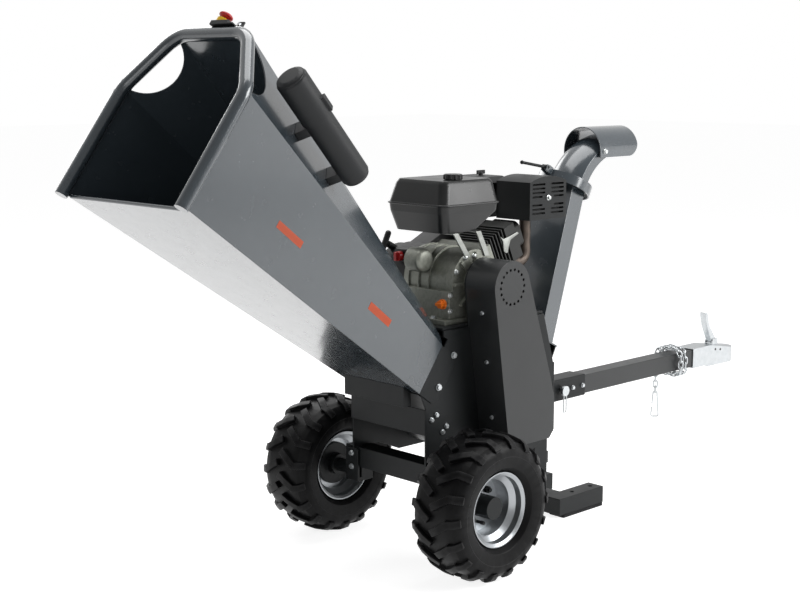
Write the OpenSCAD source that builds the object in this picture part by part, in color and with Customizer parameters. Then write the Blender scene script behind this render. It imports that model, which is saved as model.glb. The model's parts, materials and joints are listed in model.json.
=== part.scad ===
// Towable petrol garden shredder: feed hopper, belt-driven cutting drum, swivelling discharge chute.
// Millimetres. X runs from the hopper to the tow coupler, -Y is the belt side, Z is up from the ground.

/* [Running gear] */
// Outside diameter of the tyres
tyre_d = 406; // [380:1:440]
// Width of the tyres
tyre_w = 176; // [150:1:186]
// Height of the tread lugs
lug_h = 13; // [8:1:16]
// Lugs on each half of a tyre
lug_count = 18; // [14:1:22]
// Distance between the middles of the two tyres
track = 618; // [600:1:680]
// Diameter over the rim flanges
rim_d = 206; // [196:1:216]
// Width over the rim flanges
rim_w = 136; // [120:1:146]
// Diameter of the stub axles
axle_d = 25; // [20:1:30]
// Side of the square axle beam
beam_size = 60; // [54:1:66]
// Height of the beam's middle above the wheel axis
beam_rise = 50; // [48:1:60]
// Length of the axle beam
beam_len = 400; // [390:1:420]

/* [Body] */
// Width over the two side plates
body_w = 298; // [280:1:316]
// Thickness of the side plates
plate_t = 6; // [4:0.5:8]
// Front edge of the body, from the wheel axis
body_front = -50; // [-56:1:-44]
// Rear edge of the body, from the wheel axis
body_rear = 486; // [480:1:500]
// Place of the rotor axis along the machine
rotor_x = 262; // [256:1:270]
// Height of the rotor axis
rotor_z = 410; // [404:1:416]
// Diameter of the cutting drum over its discs
drum_d = 266; // [240:1:274]
// Running gap between the drum discs and the housing
drum_gap = 17; // [14:1:24]
// Thickness of the drum housing sheet
housing_t = 5; // [3:0.5:6]
// Diameter of the rotor shaft
shaft_d = 35; // [30:1:40]
// Height of the engine deck's top
deck_top = 662; // [656:1:672]
// Thickness of the engine deck
deck_t = 8; // [6:1:10]

/* [Hopper] */
// Lean of the hopper mouth back from upright, degrees
mouth_tilt = 36; // [32:1:40]
// Length of the funnel from mouth to throat
hopper_len = 990; // [900:1:1060]
// Width of the mouth between the hoop's straight legs, at the tube's middle
mouth_w = 496; // [440:1:540]
// Height of the upright mouth sides
mouth_side = 308; // [280:1:320]
// Width of the mouth's top bar
mouth_top_w = 278; // [250:1:300]
// Height of the mouth
mouth_h = 469; // [450:1:500]
// Height of the throat's upright sides
throat_side = 150; // [130:1:160]
// Height of the throat
throat_h = 176; // [170:1:190]
// Width of the throat's top
throat_top_w = 262; // [240:1:280]
// Rise of the floor between mouth and throat, measured square to the hopper axis
floor_rise = 28; // [10:1:40]
// Thickness of the hopper sheet
sheet_t = 3; // [2:0.5:4]
// Diameter of the hoop tube
hoop_d = 34; // [30:1:36]
// Bend radius of the hoop tube, at its middle
hoop_bend = 80; // [60:1:90]
// Depth of the hand-hold scallops in the sloping panels
scallop_depth = 62; // [40:1:70]

/* [Drive] */
// Place of the crankshaft along the machine
crank_x = 176; // [172:1:182]
// Height of the crankshaft above the engine deck
crank_rise = 109; // [104:1:112]
// Diameter of the drive pulley
drive_d = 120; // [110:1:126]
// Diameter of the driven pulley
driven_d = 170; // [160:1:176]
// Width of each pulley
pulley_w = 40; // [38:1:44]
// Diameter of the crankshaft end
crank_d = 25; // [22:1:28]
// Depth of the belt guard
guard_depth = 109; // [104:1:120]
// Radius of the guard's round top
guard_r = 72; // [70:1:78]

/* [Chute] */
// Lean of the discharge chute, degrees
chute_lean = 27; // [25:1:28]
// Depth of the chute duct
chute_depth = 56; // [50:1:60]
// Width of the chute at its foot
chute_foot_w = 250; // [220:1:260]
// Width of the chute at its collar
chute_top_w = 112; // [108:1:118]
// Length of the chute from its foot flange to its collar
chute_len = 505; // [480:1:530]
// Diameter of the collar flanges
collar_d = 160; // [154:1:172]
// Radius of the elbow's middle line
elbow_r = 216; // [200:1:230]
// Turn of the elbow, degrees
elbow_turn = 53; // [48:1:56]
// Width of the elbow
elbow_w = 124; // [116:1:126]
// Depth of the elbow
elbow_depth = 60; // [54:1:62]
// Inner radius of the deflector hood
hood_r = 70; // [66:1:74]
// Length of the deflector hood
hood_len = 190; // [170:1:210]

/* [Towing] */
// Rear face of the upright post, from the wheel axis
post_rear = 607; // [602:1:620]
// Side of the square post and tow bar
bar_size = 60; // [50:1:64]
// Height of the tow bar's middle
bar_z = 371; // [360:1:380]
// Length of the drawbar sleeve
sleeve_len = 178; // [150:1:200]
// Rear end of the tow bar, from the wheel axis
bar_end = 1440; // [1400:1:1480]
// Radius of the coupling ball's seat
ball_r = 25.3; // [25.1:0.1:25.6]
// Length of the foot's two bars
foot_len = 195; // [180:1:220]
// Width over the foot
foot_w = 266; // [250:1:290]
// Height of the foot bars over their pads
foot_h = 53; // [44:1:60]
// Thickness of the rubber pads
pad_t = 10; // [6:1:14]

/* [Hidden] */
$fn = 48;

// Clearance between faces that move past each other
gap = 0.3;
// Radial running fit of shafts and pins
fit = 0.05;
// Overlap of cuts past a face
cut = 1;

// Colours as the machine shows them
slate = "#5b6468";
satin_black = "#33363a";
gloss_black = "#141516";
cast_grey = "#5d5c56";
rubber = "#1b1b1c";
silver = "#b9bcbf";
zinc = "#c9ccd0";
red = "#c4202b";
yellow = "#e8b21c";
orange = "#e0691f";

// Wheels and axle
tyre_r = tyre_d / 2;
axle_r = axle_d / 2;
beam_z = tyre_r + beam_rise;
beam_top = beam_z + beam_size / 2;
beam_bottom = beam_z - beam_size / 2;
beam_wall = 4;
hub_r = 31;
hub_half = 50;
carrier_w = 50;
carrier_y = beam_len / 2 - carrier_w / 2 - 10;

// Body
half = body_w / 2;
inside = half - plate_t;
deck_bottom = deck_top - deck_t;
housing_r = drum_d / 2 + drum_gap;
shaft_r = shaft_d / 2;
deck_front = 20;
deck_rear = 440;
foot_bolts = [crank_x - 117, crank_x + 123];
foot_t = 14;

// Engine and drive, all placed from the crankshaft
crank_z = deck_top + crank_rise;
crank_r = crank_d / 2;
case_near = -inside + 18;
pulley_y = -half - 56;
pulley_near = pulley_y - pulley_w / 2;
belt_span = norm([rotor_x - crank_x, rotor_z - crank_z]);
groove_w = 13;
groove_depth = 11;
groove_pitch = 17;
guard_wall = 3;
guard_face = -half - guard_depth;

// Hopper: local x runs from mouth to throat, local z up the mouth plane
throat_x = -78;
throat_z = 494;
throat_half = half + sheet_t;
lip_x = throat_x - hopper_len * cos(mouth_tilt) - floor_rise * sin(mouth_tilt);
lip_z = throat_z + hopper_len * sin(mouth_tilt) - floor_rise * cos(mouth_tilt);
hoop_r = hoop_d / 2;
flange_w = 74;
hoop_low = 8;
lip_r = 5;
bar_top = mouth_h + hoop_r;

// Chute: local x across the duct, local z up the duct, from the rotor axis
spout_len = 236;
flange_t = 5;
duct_wall = 3;
collar_t = 8;
collar_r = collar_d / 2;
chute_top = spout_len + chute_len;
duct_mid = housing_r - chute_depth / 2;
elbow_base = chute_top + 2 * gap;

// Towing
sleeve_wall = 4;
sleeve_size = bar_size + 2 * sleeve_wall + 1;
post_front = post_rear - bar_size;
bar_start = post_rear + 4;
ball_x = bar_end + 160;
ball_z = bar_z - 26;
coupler_r = ball_r + 12;
pin_x = post_rear + 58;
pin_r = 8;
foot_top = pad_t + foot_h;
foot_bar_w = 60;
foot_front = post_front + 20;

// The origin is midway along the machine, on the ground
x_front = lip_x - (hoop_d + gap) * cos(mouth_tilt) - hoop_low * sin(mouth_tilt);
x_rear = ball_x + coupler_r;
origin_shift = -(x_front + x_rear) / 2;

// Shared shapes

// A flat outline in X and Z made into a plate between two places along Y
module plate_y(y0, y1) translate([0, y1, 0]) rotate([90, 0, 0]) linear_extrude(y1 - y0) children();

// A round bar along Y
module rod_y(x, z, r, y0, y1) translate([x, y0, z]) rotate([-90, 0, 0]) cylinder(r = r, h = y1 - y0);

// A round bar along X
module rod_x(y, z, r, x0, x1) translate([x0, y, z]) rotate([0, 90, 0]) cylinder(r = r, h = x1 - x0);

// A box given by its two corners
module box(a, b) translate(a) cube(b - a);

// A bolt head with washer, standing on z = 0 and pointing up
module bolt_head(size = 10) {
    cylinder(r = size * 1.05, h = 2);
    translate([0, 0, 2]) cylinder(r = size * 0.92, h = size * 0.6, $fn = 6);
}

// A box with rounded upright edges
module round_box(a, b, r) {
    translate([a[0], a[1], a[2]]) linear_extrude(b[2] - a[2]) round_rect(b[0] - a[0], b[1] - a[1], r);
}

// A rectangle from the origin with rounded corners
module round_rect(w, h, r) {
    translate([r, 0]) square([w - 2 * r, h]);
    translate([0, r]) square([w, h - 2 * r]);
    for (x = [r, w - r], y = [r, h - r]) translate([x, y]) circle(r);
}

// A round tube along points in a plane, with rounded bends
function unit(v) = v / norm(v);
function turn_of(p, i) = let (a = unit(p[i] - p[i - 1]), b = unit(p[i + 1] - p[i]))
    atan2(a[0] * b[1] - a[1] * b[0], a * b);
function setback(p, i, bend) = (i == 0 || i == len(p) - 1) ? 0 : bend * tan(abs(turn_of(p, i)) / 2);
// Middle line of the tube: each corner becomes an arc of short chords
function arc_at(p, i, bend, steps) = let (d = unit(p[i] - p[i - 1]), turn = turn_of(p, i), side = sign(turn),
    start = p[i] - d * setback(p, i, bend), centre = start + side * bend * [-d[1], d[0]],
    from = atan2(start[1] - centre[1], start[0] - centre[0]))
    [for (k = [0 : steps]) centre + bend * [cos(from + turn * k / steps), sin(from + turn * k / steps)]];
function tube_line(p, bend, steps) = concat([p[0]],
    [for (i = [1 : len(p) - 2]) each arc_at(p, i, bend, steps)], [p[len(p) - 1]]);
module tube_run(p, r, bend, steps = 6, sides = 20) {
    line = tube_line(p, bend, steps);
    n = len(line);
    ring = [for (i = [0 : n - 1]) let (a = unit(line[max(i, 1)] - line[max(i, 1) - 1]),
        b = unit(line[min(i + 1, n - 1)] - line[min(i + 1, n - 1) - 1]), t = unit(a + b), wide = 1 / (t * b))
        each [for (k = [0 : sides - 1]) let (q = k * 360 / sides)
            [line[i][0] - t[1] * r * wide * cos(q), line[i][1] + t[0] * r * wide * cos(q), r * sin(q)]]];
    walls = [for (i = [0 : n - 2], k = [0 : sides - 1]) let (m = (k + 1) % sides)
        each [[i * sides + k, (i + 1) * sides + k, (i + 1) * sides + m],
            [i * sides + k, (i + 1) * sides + m, i * sides + m]]];
    ends = [[for (k = [0 : sides - 1]) k], [for (k = [sides - 1 : -1 : 0]) (n - 1) * sides + k]];
    polyhedron(ring, concat(walls, ends));
}

// Body

// Front edge of the side plates along the throat, 12 behind it
throat_back = 12;
function in_hopper(x, z) = [lip_x + x * cos(mouth_tilt) + z * sin(mouth_tilt),
    lip_z - x * sin(mouth_tilt) + z * cos(mouth_tilt)];
plate_low = in_hopper(hopper_len + throat_back, floor_rise);
plate_high = in_hopper(hopper_len + throat_back, floor_rise + throat_h);

module plate_outline() {
    foot_z = rotor_z - housing_r - housing_t - 6;
    polygon([[body_front, beam_top], [beam_size / 2 + 20, beam_top], [rotor_x - 130, foot_z],
        [rotor_x + 130, foot_z], [body_rear, rotor_z - 120], [body_rear, rotor_z + 92],
        [deck_rear, deck_bottom], [deck_front, deck_bottom], [deck_front, plate_high[1] + 8],
        plate_high, plate_low, [body_front, plate_low[1] - 40]]);
}

module side_plate_near() color(satin_black) difference() {
    union() {
        plate_y(-half, -inside) plate_outline();
        plate_y(-half, -inside) guard_outline(0);
    }
    rod_y(rotor_x, rotor_z, shaft_r + 4, -half - cut, -inside + cut);
    rod_y(crank_x, crank_z, crank_r + 6, -half - cut, -inside + cut);
}

module side_plate_far() color(satin_black) difference() {
    plate_y(inside, half) plate_outline();
    rod_y(rotor_x, rotor_z, shaft_r + 4, inside - cut, half + cut);
}

module axle_beam() color(satin_black) difference() {
    box([-beam_size / 2, -beam_len / 2, beam_bottom], [beam_size / 2, beam_len / 2, beam_top]);
    box([-beam_size / 2 + beam_wall, -beam_len / 2 - cut, beam_bottom + beam_wall],
        [beam_size / 2 - beam_wall, beam_len / 2 + cut, beam_top - beam_wall]);
}

module stub_axles() color(satin_black) for (side = [-1, 1]) mirror([0, side > 0 ? 1 : 0, 0]) {
    tab_t = 8;
    shoulder_r = beam_rise - beam_size / 2 - gap;
    box([-22, -carrier_y - carrier_w / 2, tyre_r - 22], [22, -carrier_y + carrier_w / 2, beam_bottom]);
    box([-beam_size / 2 - tab_t, -carrier_y - carrier_w / 2, tyre_r - 22],
        [-beam_size / 2, -carrier_y + carrier_w / 2, beam_top - 6]);
    box([-beam_size / 2, -carrier_y - carrier_w / 2, tyre_r - 22],
        [-20, -carrier_y + carrier_w / 2, tyre_r - 10]);
    rod_y(0, tyre_r, axle_r, -track / 2 - hub_half + 14, -carrier_y);
    rod_y(0, tyre_r, shoulder_r, -track / 2 + hub_half + gap, -carrier_y);
}

module front_cover() color(satin_black) {
    cover_t = 4;
    cover_rise = 90;
    box([body_front - cover_t, -half, beam_top + cover_rise], [body_front, half, plate_low[1] - 42]);
}

// A scroll: round under the drum, then up the spout, over the drum and out to the throat
module housing_outline(grow, run_on) {
    r = housing_r + grow;
    near = housing_r - chute_depth - grow;
    mouth = spout_len - flange_t + run_on;
    angle_low = 192;
    angle_out = 360 - chute_lean;
    angle_in = acos(near / r) - chute_lean;
    angle_high = 116;
    low_steps = 40;
    high_steps = 12;
    lip_in = 2;
    centre = [rotor_x, rotor_z];
    along = [sin(chute_lean), cos(chute_lean)];
    across = [cos(chute_lean), -sin(chute_lean)];
    polygon(concat([in_hopper(hopper_len + lip_in - run_on, floor_rise + sheet_t - grow)],
        [for (i = [0 : low_steps]) let (a = angle_low + (angle_out - angle_low) * i / low_steps)
            centre + r * [cos(a), sin(a)]],
        [centre + r * across + mouth * along, centre + near * across + mouth * along],
        [for (i = [0 : high_steps]) let (a = angle_in + (angle_high - angle_in) * i / high_steps)
            centre + r * [cos(a), sin(a)]],
        [in_hopper(hopper_len + lip_in - run_on, floor_rise + throat_h - sheet_t + grow)]));
}

module drum_housing() color(satin_black) difference() {
    run_on = 20;
    plate_y(-inside, inside) housing_outline(housing_t, 0);
    plate_y(-inside - cut, inside + cut) housing_outline(0, run_on);
}

module engine_deck() color(satin_black) {
    lip_h = 24;
    difference() {
        union() {
            box([deck_front, -inside, deck_bottom], [deck_rear, half, deck_top]);
            box([deck_rear - 5, -inside, deck_bottom - lip_h], [deck_rear, inside, deck_bottom]);
        }
        for (x = foot_bolts, y = [-70, 70])
            translate([x, y, deck_bottom - cut]) cylinder(r = 5.5, h = deck_t + 2 * cut);
    }
}

module rear_post() color(satin_black) {
    cross_t = 6;
    wall = 4;
    difference() {
        union() {
            box([post_front, -bar_size / 2, foot_top], [post_rear, bar_size / 2, bar_z + bar_size / 2]);
            box([body_rear + cross_t, -bar_size / 2, bar_z - bar_size / 2],
                [post_front, bar_size / 2, bar_z + bar_size / 2]);
        }
        box([post_front + wall, -bar_size / 2 + wall, foot_top - cut],
            [post_rear - wall, bar_size / 2 - wall, bar_z + bar_size / 2 - wall]);
        box([body_rear, -bar_size / 2 + wall, bar_z - bar_size / 2 + wall],
            [post_front - cut, bar_size / 2 - wall, bar_z + bar_size / 2 - wall]);
    }
    box([body_rear, -half, rotor_z - 120], [body_rear + cross_t, half, rotor_z + 92]);
    box([post_rear, -20, foot_top + 80], [post_rear + 18, 20, foot_top + 118]);
    difference() {
        translate([post_rear, 0, bar_z]) rotate([90, 0, 90]) linear_extrude(sleeve_len) difference() {
            translate([-sleeve_size / 2, -sleeve_size / 2]) round_rect(sleeve_size, sleeve_size, 6);
            square(bar_size + 2 * gap, center = true);
        }
        rod_y(pin_x, bar_z, pin_r + fit, -sleeve_size, sleeve_size);
    }
}

module parking_foot() color(satin_black) {
    wall = 5;
    hole_pitch = 90;
    difference() {
        union() {
            box([post_front, -foot_w / 2, pad_t], [post_rear + 12, foot_w / 2, foot_top]);
            for (side = [-1, 1]) translate([0, side * (foot_w - foot_bar_w) / 2, 0])
                box([foot_front, -foot_bar_w / 2, pad_t], [foot_front + foot_len, foot_bar_w / 2, foot_top]);
        }
        for (side = [-1, 1]) translate([0, side * (foot_w - foot_bar_w) / 2, 0]) {
            box([foot_front + wall, -foot_bar_w / 2 + wall, pad_t - cut],
                [foot_front + foot_len - wall, foot_bar_w / 2 - wall, foot_top - wall]);
            for (k = [0, 1]) translate([foot_front + 75 + k * hole_pitch, 0, foot_top - wall - cut])
                cylinder(r = 7, h = wall + 2 * cut);
        }
    }
}

module foot_pads() color(rubber) for (side = [-1, 1])
    translate([foot_front, side * (foot_w - foot_bar_w) / 2 - foot_bar_w / 2, 0])
        linear_extrude(pad_t) round_rect(foot_len, foot_bar_w, 6);

// Towing gear

module tow_bar() color(satin_black) difference() {
    box([bar_start, -bar_size / 2, bar_z - bar_size / 2], [bar_end, bar_size / 2, bar_z + bar_size / 2]);
    box([bar_start - cut, -bar_size / 2 + beam_wall, bar_z - bar_size / 2 + beam_wall],
        [bar_end + cut, bar_size / 2 - beam_wall, bar_z + bar_size / 2 - beam_wall]);
    rod_y(pin_x, bar_z, pin_r + fit, -bar_size, bar_size);
}

lever_pivot_x = ball_x - 62;
lever_pivot_z = bar_z + 40;

module coupler_body() color(zinc) {
    wall = 4;
    socket = bar_size / 2 + wall + gap;
    ear_w = 14;
    difference() {
        union() {
            box([bar_end - 60, -socket, bar_z - socket], [bar_end + 40, socket, bar_z + socket]);
            hull() {
                box([bar_end + 30, -socket, ball_z - 14], [bar_end + 40, socket, bar_z + socket]);
                translate([ball_x, 0, ball_z - 14]) cylinder(r = coupler_r, h = 54);
            }
            for (side = [-1, 1]) translate([0, side * ear_w, 0])
                plate_y(-2, 2) polygon([[lever_pivot_x - 24, bar_z + 20], [lever_pivot_x + 24, bar_z + 10],
                    [lever_pivot_x + 12, lever_pivot_z + 9], [lever_pivot_x - 12, lever_pivot_z + 9]]);
        }
        box([bar_end - 60 - cut, -bar_size / 2 - gap, bar_z - bar_size / 2 - gap],
            [bar_end + 10, bar_size / 2 + gap, bar_z + bar_size / 2 + gap]);
        translate([ball_x, 0, ball_z - 14 - cut]) cylinder(r = ball_r, h = 14 + cut);
        translate([ball_x, 0, ball_z]) sphere(ball_r);
        rod_y(lever_pivot_x, lever_pivot_z, 4 + fit, -ear_w - 4, ear_w + 4);
    }
}

module coupler_lever() color(zinc) {
    arm_half = 12 - gap;
    lever_t = 3;
    lever_form = [[-12, -6], [4, -8], [10, 6], [-34, 62], [-45, 100], [-49, 106], [-58, 106], [-57, 94],
        [-47, 58]];
    rod_y(lever_pivot_x, lever_pivot_z, 4, -16, 16);
    difference() {
        plate_y(-arm_half, arm_half) translate([lever_pivot_x, lever_pivot_z]) polygon(lever_form);
        plate_y(-arm_half + lever_t, arm_half - lever_t)
            translate([lever_pivot_x + lever_t + 1, lever_pivot_z + lever_t]) polygon(lever_form);
    }
}

// Safety chain: welded links laid in turns round the bar, one link along each chord of the path
wire_d = 5;
link_in = 20.5;
link_slack = 1;
link_bend = 4.5;
chain_pitch = link_in - link_slack;
chain_stand = 16;
chain_corner = 26;
chain_x = bar_end - 160;
chain_turns = 2;
turn_step = 26;
chain_flat = bar_size + 2 * (chain_stand - chain_corner);
chain_round = 2 * PI * chain_corner;
chain_loop = 4 * chain_flat + chain_round;

// A point of the rounded square path, s along it
function chain_yz(s) = let (quarter = chain_loop / 4, q = floor(s / quarter), t = s - q * quarter,
    h = chain_flat / 2, bent = max(0, t - chain_flat), a = bent / chain_corner * 180 / PI,
    y = t < chain_flat ? t - h : h + chain_corner * sin(a),
    z = h + (t < chain_flat ? chain_corner : chain_corner * cos(a)))
    [y * cos(-90 * q) - z * sin(-90 * q), y * sin(-90 * q) + z * cos(-90 * q)];
function chain_point(s) = let (p = chain_yz(s))
    [chain_x + s / chain_loop * turn_step, -p[0], bar_z + p[1]];

// One link, lying along X with its flat side up
module chain_link() {
    reach = link_in / 2 - link_bend;
    for (side = [-1, 1]) {
        rod_x(side * (link_bend + wire_d / 2), 0, wire_d / 2, -reach, reach);
        translate([side * reach, 0, 0]) rotate([0, 0, side > 0 ? -90 : 90])
            rotate_extrude(angle = 180, $fn = 32) translate([link_bend + wire_d / 2, 0])
                circle(wire_d / 2, $fn = 16);
    }
}

// A link along the chord from a to b, rolled about it from the plane square to the bar
module link_between(a, b, roll) {
    d = unit(b - a);
    up = unit([1, 0, 0] - d[0] * d);
    side = cross(up, d);
    mid = (a + b) / 2;
    multmatrix([[d[0], side[0], up[0], mid[0]], [d[1], side[1], up[1], mid[1]],
        [d[2], side[2], up[2], mid[2]], [0, 0, 0, 1]]) rotate([roll, 0, 0]) chain_link();
}

// The wrapped links are counted from the one where the loose end hangs
chain_lead = 4;
chain_links = floor(chain_turns * chain_loop / chain_pitch);
chain_joint = chain_point(-chain_lead * chain_pitch);

module safety_chain() color(zinc) for (i = [-chain_lead : chain_links - 1])
    link_between(chain_point(i * chain_pitch), chain_point((i + 1) * chain_pitch), i % 2 == 0 ? 45 : 135);

end_links = 5;

module chain_end() color(zinc) {
    hook_top = 6.5;
    hook_low = 13;
    hook_h = 88;
    hook_bend = 6;
    hook_turn = -45;
    hook_gate = (hook_top + hook_low) / 2;
    for (i = [0 : end_links - 1]) {
        a = chain_joint - [0, 0, i * chain_pitch];
        link_between(a, a - [0, 0, chain_pitch], i % 2 == 0 ? 45 : 135);
    }
    translate(chain_joint - [0, 0, end_links * chain_pitch - (wire_d + link_slack) / 2])
        rotate([90, 0, hook_turn]) tube_run([[-hook_gate, -hook_h / 2], [-hook_top, 0], [hook_top, 0],
            [hook_low, -hook_h], [-hook_low, -hook_h], [-hook_gate - 1, -hook_h / 2 - 2 * wire_d]],
            wire_d / 2, hook_bend);
}

module hitch_pin() color(zinc) {
    head_y = -sleeve_size / 2 - 12;
    tip_y = sleeve_size / 2 + 30;
    rod_y(pin_x, bar_z, pin_r, head_y, tip_y);
    rod_y(pin_x, bar_z, pin_r + 8, head_y - 8, head_y);
    translate([pin_x, head_y - 4, bar_z - pin_r - 4]) rotate([90, 0, 0])
        tube_run([[-6, 0], [-6, -58], [6, -58], [6, 0]], 2, 5.9);
}

// Fasteners

module face_bolt(x, z, y, side, size = 10)
    translate([x, y, z]) rotate([side * -90, 0, 0]) bolt_head(size);

module bolts() color(zinc) {
    for (side = [-1, 1]) {
        for (k = [0.28, 0.85]) {
            q = in_hopper(hopper_len + 54, floor_rise + k * throat_h);
            face_bolt(q[0], q[1], side * (half + sheet_t), side, 9);
        }
        for (z = [beam_z - 30, beam_z + 10]) translate([-beam_size / 2 - 8, side * carrier_y, z])
            rotate([0, -90, 0]) bolt_head(8);
        for (x = [post_rear + 114, post_rear + 163])
            face_bolt(x, bar_z, side * sleeve_size / 2, side, 7);
        for (x = foot_bolts) translate([x, side * 70, deck_top + foot_t]) bolt_head(8);
    }
    for (p = [[21, 111], [40, 122], [79, 84], [64, 70]])
        face_bolt(body_front + p[0], beam_top + p[1] + 20, -half, -1, 7);
    for (z = [400, 560, 700]) translate([guard_left(z), guard_face + guard_depth / 2, z])
        rotate([0, -90 - guard_slant, 0]) bolt_head(6);
    at_bracket() translate([ear_x, -box_near - ear_w / 2, ear_h / 2 + 2]) rotate([0, -90, 0]) bolt_head(6);
}

// Hopper

module at_hopper() translate([lip_x, 0, lip_z]) rotate([0, mouth_tilt, 0]) children();

// Section of the funnel, drawn across (first) and up (second)
module funnel_section(width, side, top_w, height, base, inset) {
    slope = norm([height - side, (width - top_w) / 2]);
    lean_in = inset * (slope - (height - side)) / ((width - top_w) / 2);
    polygon([[-width / 2 + inset, base + inset], [width / 2 - inset, base + inset],
        [width / 2 - inset, base + side - lean_in * 0.3], [top_w / 2 - inset * 0.6, base + height - inset],
        [-top_w / 2 + inset * 0.6, base + height - inset],
        [-width / 2 + inset, base + side - lean_in * 0.3]]);
}

module funnel_solid(inset, extra) hull() {
    skin = 0.01;
    translate([-extra, 0, 0]) rotate([90, 0, 90]) linear_extrude(skin)
        funnel_section(mouth_w, mouth_side, mouth_top_w, mouth_h, 0, inset);
    translate([hopper_len + extra - skin, 0, 0]) rotate([90, 0, 90]) linear_extrude(skin)
        funnel_section(2 * throat_half, throat_side, throat_top_w, throat_h, floor_rise, inset);
}

scallop_chord = 172;
scallop_r = (scallop_chord * scallop_chord / 4 + scallop_depth * scallop_depth) / (2 * scallop_depth);

module hopper_funnel() color(slate) at_hopper() difference() {
    union() {
        funnel_solid(0, 0);
        rod_y(0, 0, lip_r, -mouth_w / 2 + hoop_r + cut, mouth_w / 2 - hoop_r - cut);
    }
    funnel_solid(sheet_t, cut);
    slope_w = (mouth_w - mouth_top_w) / 2;
    slope_h = mouth_h - mouth_side;
    for (side = [-1, 1])
        translate([scallop_depth - scallop_r, side * (mouth_w - slope_w) / 2, mouth_side + slope_h / 2])
            rotate([-side * atan2(slope_h, slope_w), 0, 0]) cylinder(r = scallop_r, h = 120, center = true);
}

module hopper_hoop() color(slate) at_hopper() translate([-hoop_r - gap, 0, 0]) rotate([90, 0, 90])
    tube_run([[-mouth_w / 2, -hoop_low], [-mouth_w / 2, mouth_side], [-mouth_top_w / 2, mouth_h],
        [mouth_top_w / 2, mouth_h], [mouth_w / 2, mouth_side], [mouth_w / 2, -hoop_low]], hoop_r, hoop_bend);

// Height of the floor's underside at a place along the machine
function floor_z(x) = throat_z + (x - throat_x) * (lip_z - throat_z) / (lip_x - throat_x);

module hopper_flanges() color(slate) {
    bar_deep = 28;
    bar_low = 456;
    bar_x = throat_x - bar_deep;
    at_hopper() for (side = [-1, 1]) translate([0, side * (half + sheet_t / 2), 0])
        plate_y(-sheet_t / 2, sheet_t / 2) translate([hopper_len, floor_rise])
            polygon([[0, 0], [flange_w - 18, 0], [flange_w, 18], [flange_w, throat_side - 26],
                [flange_w - 26, throat_side], [0, throat_side]]);
    plate_y(-half + 30, half - 30) polygon([[bar_x, bar_low], [throat_x, bar_low],
        [throat_x, floor_z(throat_x) - gap], [bar_x, floor_z(bar_x) - gap]]);
}

// Switch box on the top bar, with an upright ear beside it
estop_y = -40;
box_h = 12;
box_near = 22;
box_far = 46;
box_half = 18;
button_y = 24;
lap = 1;
ear_x = 10;
ear_t = 5;
ear_h = 26;
ear_w = 22;
collar_out = 17;
collar_h = 12;
button_stem = 9;
button_travel = 5;

module at_bracket() at_hopper() translate([-hoop_r - gap, estop_y, bar_top]) children();
module at_estop() at_bracket() translate([0, button_y, box_h]) children();

module estop_bracket() {
    color(satin_black) at_bracket() {
        box([-box_half, -box_near, 0], [box_half, box_far, box_h]);
        box([-box_half, -box_near - ear_w, 0], [ear_x + ear_t, lap - box_near, 4]);
        box([ear_x, -box_near - ear_w, 0], [ear_x + ear_t, lap - box_near, ear_h]);
    }
    color(yellow) at_estop() difference() {
        translate([0, 0, -lap]) cylinder(r = collar_out, h = collar_h + lap);
        translate([0, 0, 2]) cylinder(r = button_stem + fit, h = collar_h);
    }
}

module estop_button() color(red) at_estop() {
    translate([0, 0, 2 + button_travel + gap]) cylinder(r = button_stem, h = collar_h);
    translate([0, 0, collar_h + button_travel + gap]) rotate_extrude()
        polygon([[0, 0], [13, 0], [18, 4], [18, 8], [15, 11], [8, 13], [0, 13.5]]);
}

// Canister on the near sloping panel: local z runs down the panel, local x stands off it
can_r = 37;
can_len = 336;
can_wall = 3;
cap_len = 126;
can_stand = can_r + 26;
can_place = 0.232;
panel_mid_mouth = [0, -(mouth_w + mouth_top_w) / 4, (mouth_side + mouth_h) / 2];
panel_mid_throat = [hopper_len, -(2 * throat_half + throat_top_w) / 4,
    floor_rise + (throat_side + throat_h) / 2];
panel_along = unit(panel_mid_throat - panel_mid_mouth);
panel_across = unit([0, (mouth_w - mouth_top_w) / 2, mouth_h - mouth_side]);
panel_out = unit(cross(panel_along, panel_across));
panel_point = panel_mid_mouth + can_place * (panel_mid_throat - panel_mid_mouth);

module at_canister() {
    n = panel_out;
    d = panel_along;
    e = cross(d, n);
    q = panel_point + can_stand * n;
    at_hopper() multmatrix([[n[0], e[0], d[0], q[0]], [n[1], e[1], d[1], q[1]], [n[2], e[2], d[2], q[2]],
        [0, 0, 0, 1]]) children();
}

// The saddles are cut to the panel they stand on
module manual_tube() color(gloss_black) difference() {
    saddle_w = 24;
    saddle_trim = 4;
    at_canister() {
        translate([0, 0, -can_len / 2]) rotate_extrude()
            polygon([[0, 0], [can_r, 0], [can_r, can_len - 16], [can_r - 4, can_len - 6],
                [can_r - 14, can_len], [0, can_len]]);
        for (z = [cap_len - can_len / 2 + 8, can_len / 2 - 2 * saddle_w])
            box([-can_stand - saddle_trim, -22, z], [0, 22, z + saddle_w]);
    }
    at_canister() translate([0, 0, -can_len / 2 - cut])
        cylinder(r = can_r - can_wall, h = can_len - 4 * can_wall + cut);
    at_hopper() funnel_solid(-fit, 0);
}

module manual_cap() color(gloss_black) at_canister() translate([0, 0, -can_len / 2 - gap]) difference() {
    union() {
        translate([0, 0, -2 * can_wall]) rotate_extrude() polygon([[0, 0], [can_r - 12, 0], [can_r - 2, 5],
            [can_r + can_wall, 14], [can_r + can_wall, cap_len + 2 * can_wall], [0, cap_len + 2 * can_wall]]);
        box([can_r, -9, cap_len - 46], [can_r + 10, 9, cap_len - 4]);
    }
    cylinder(r = can_r + fit, h = cap_len + cut);
}

// Chute

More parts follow.
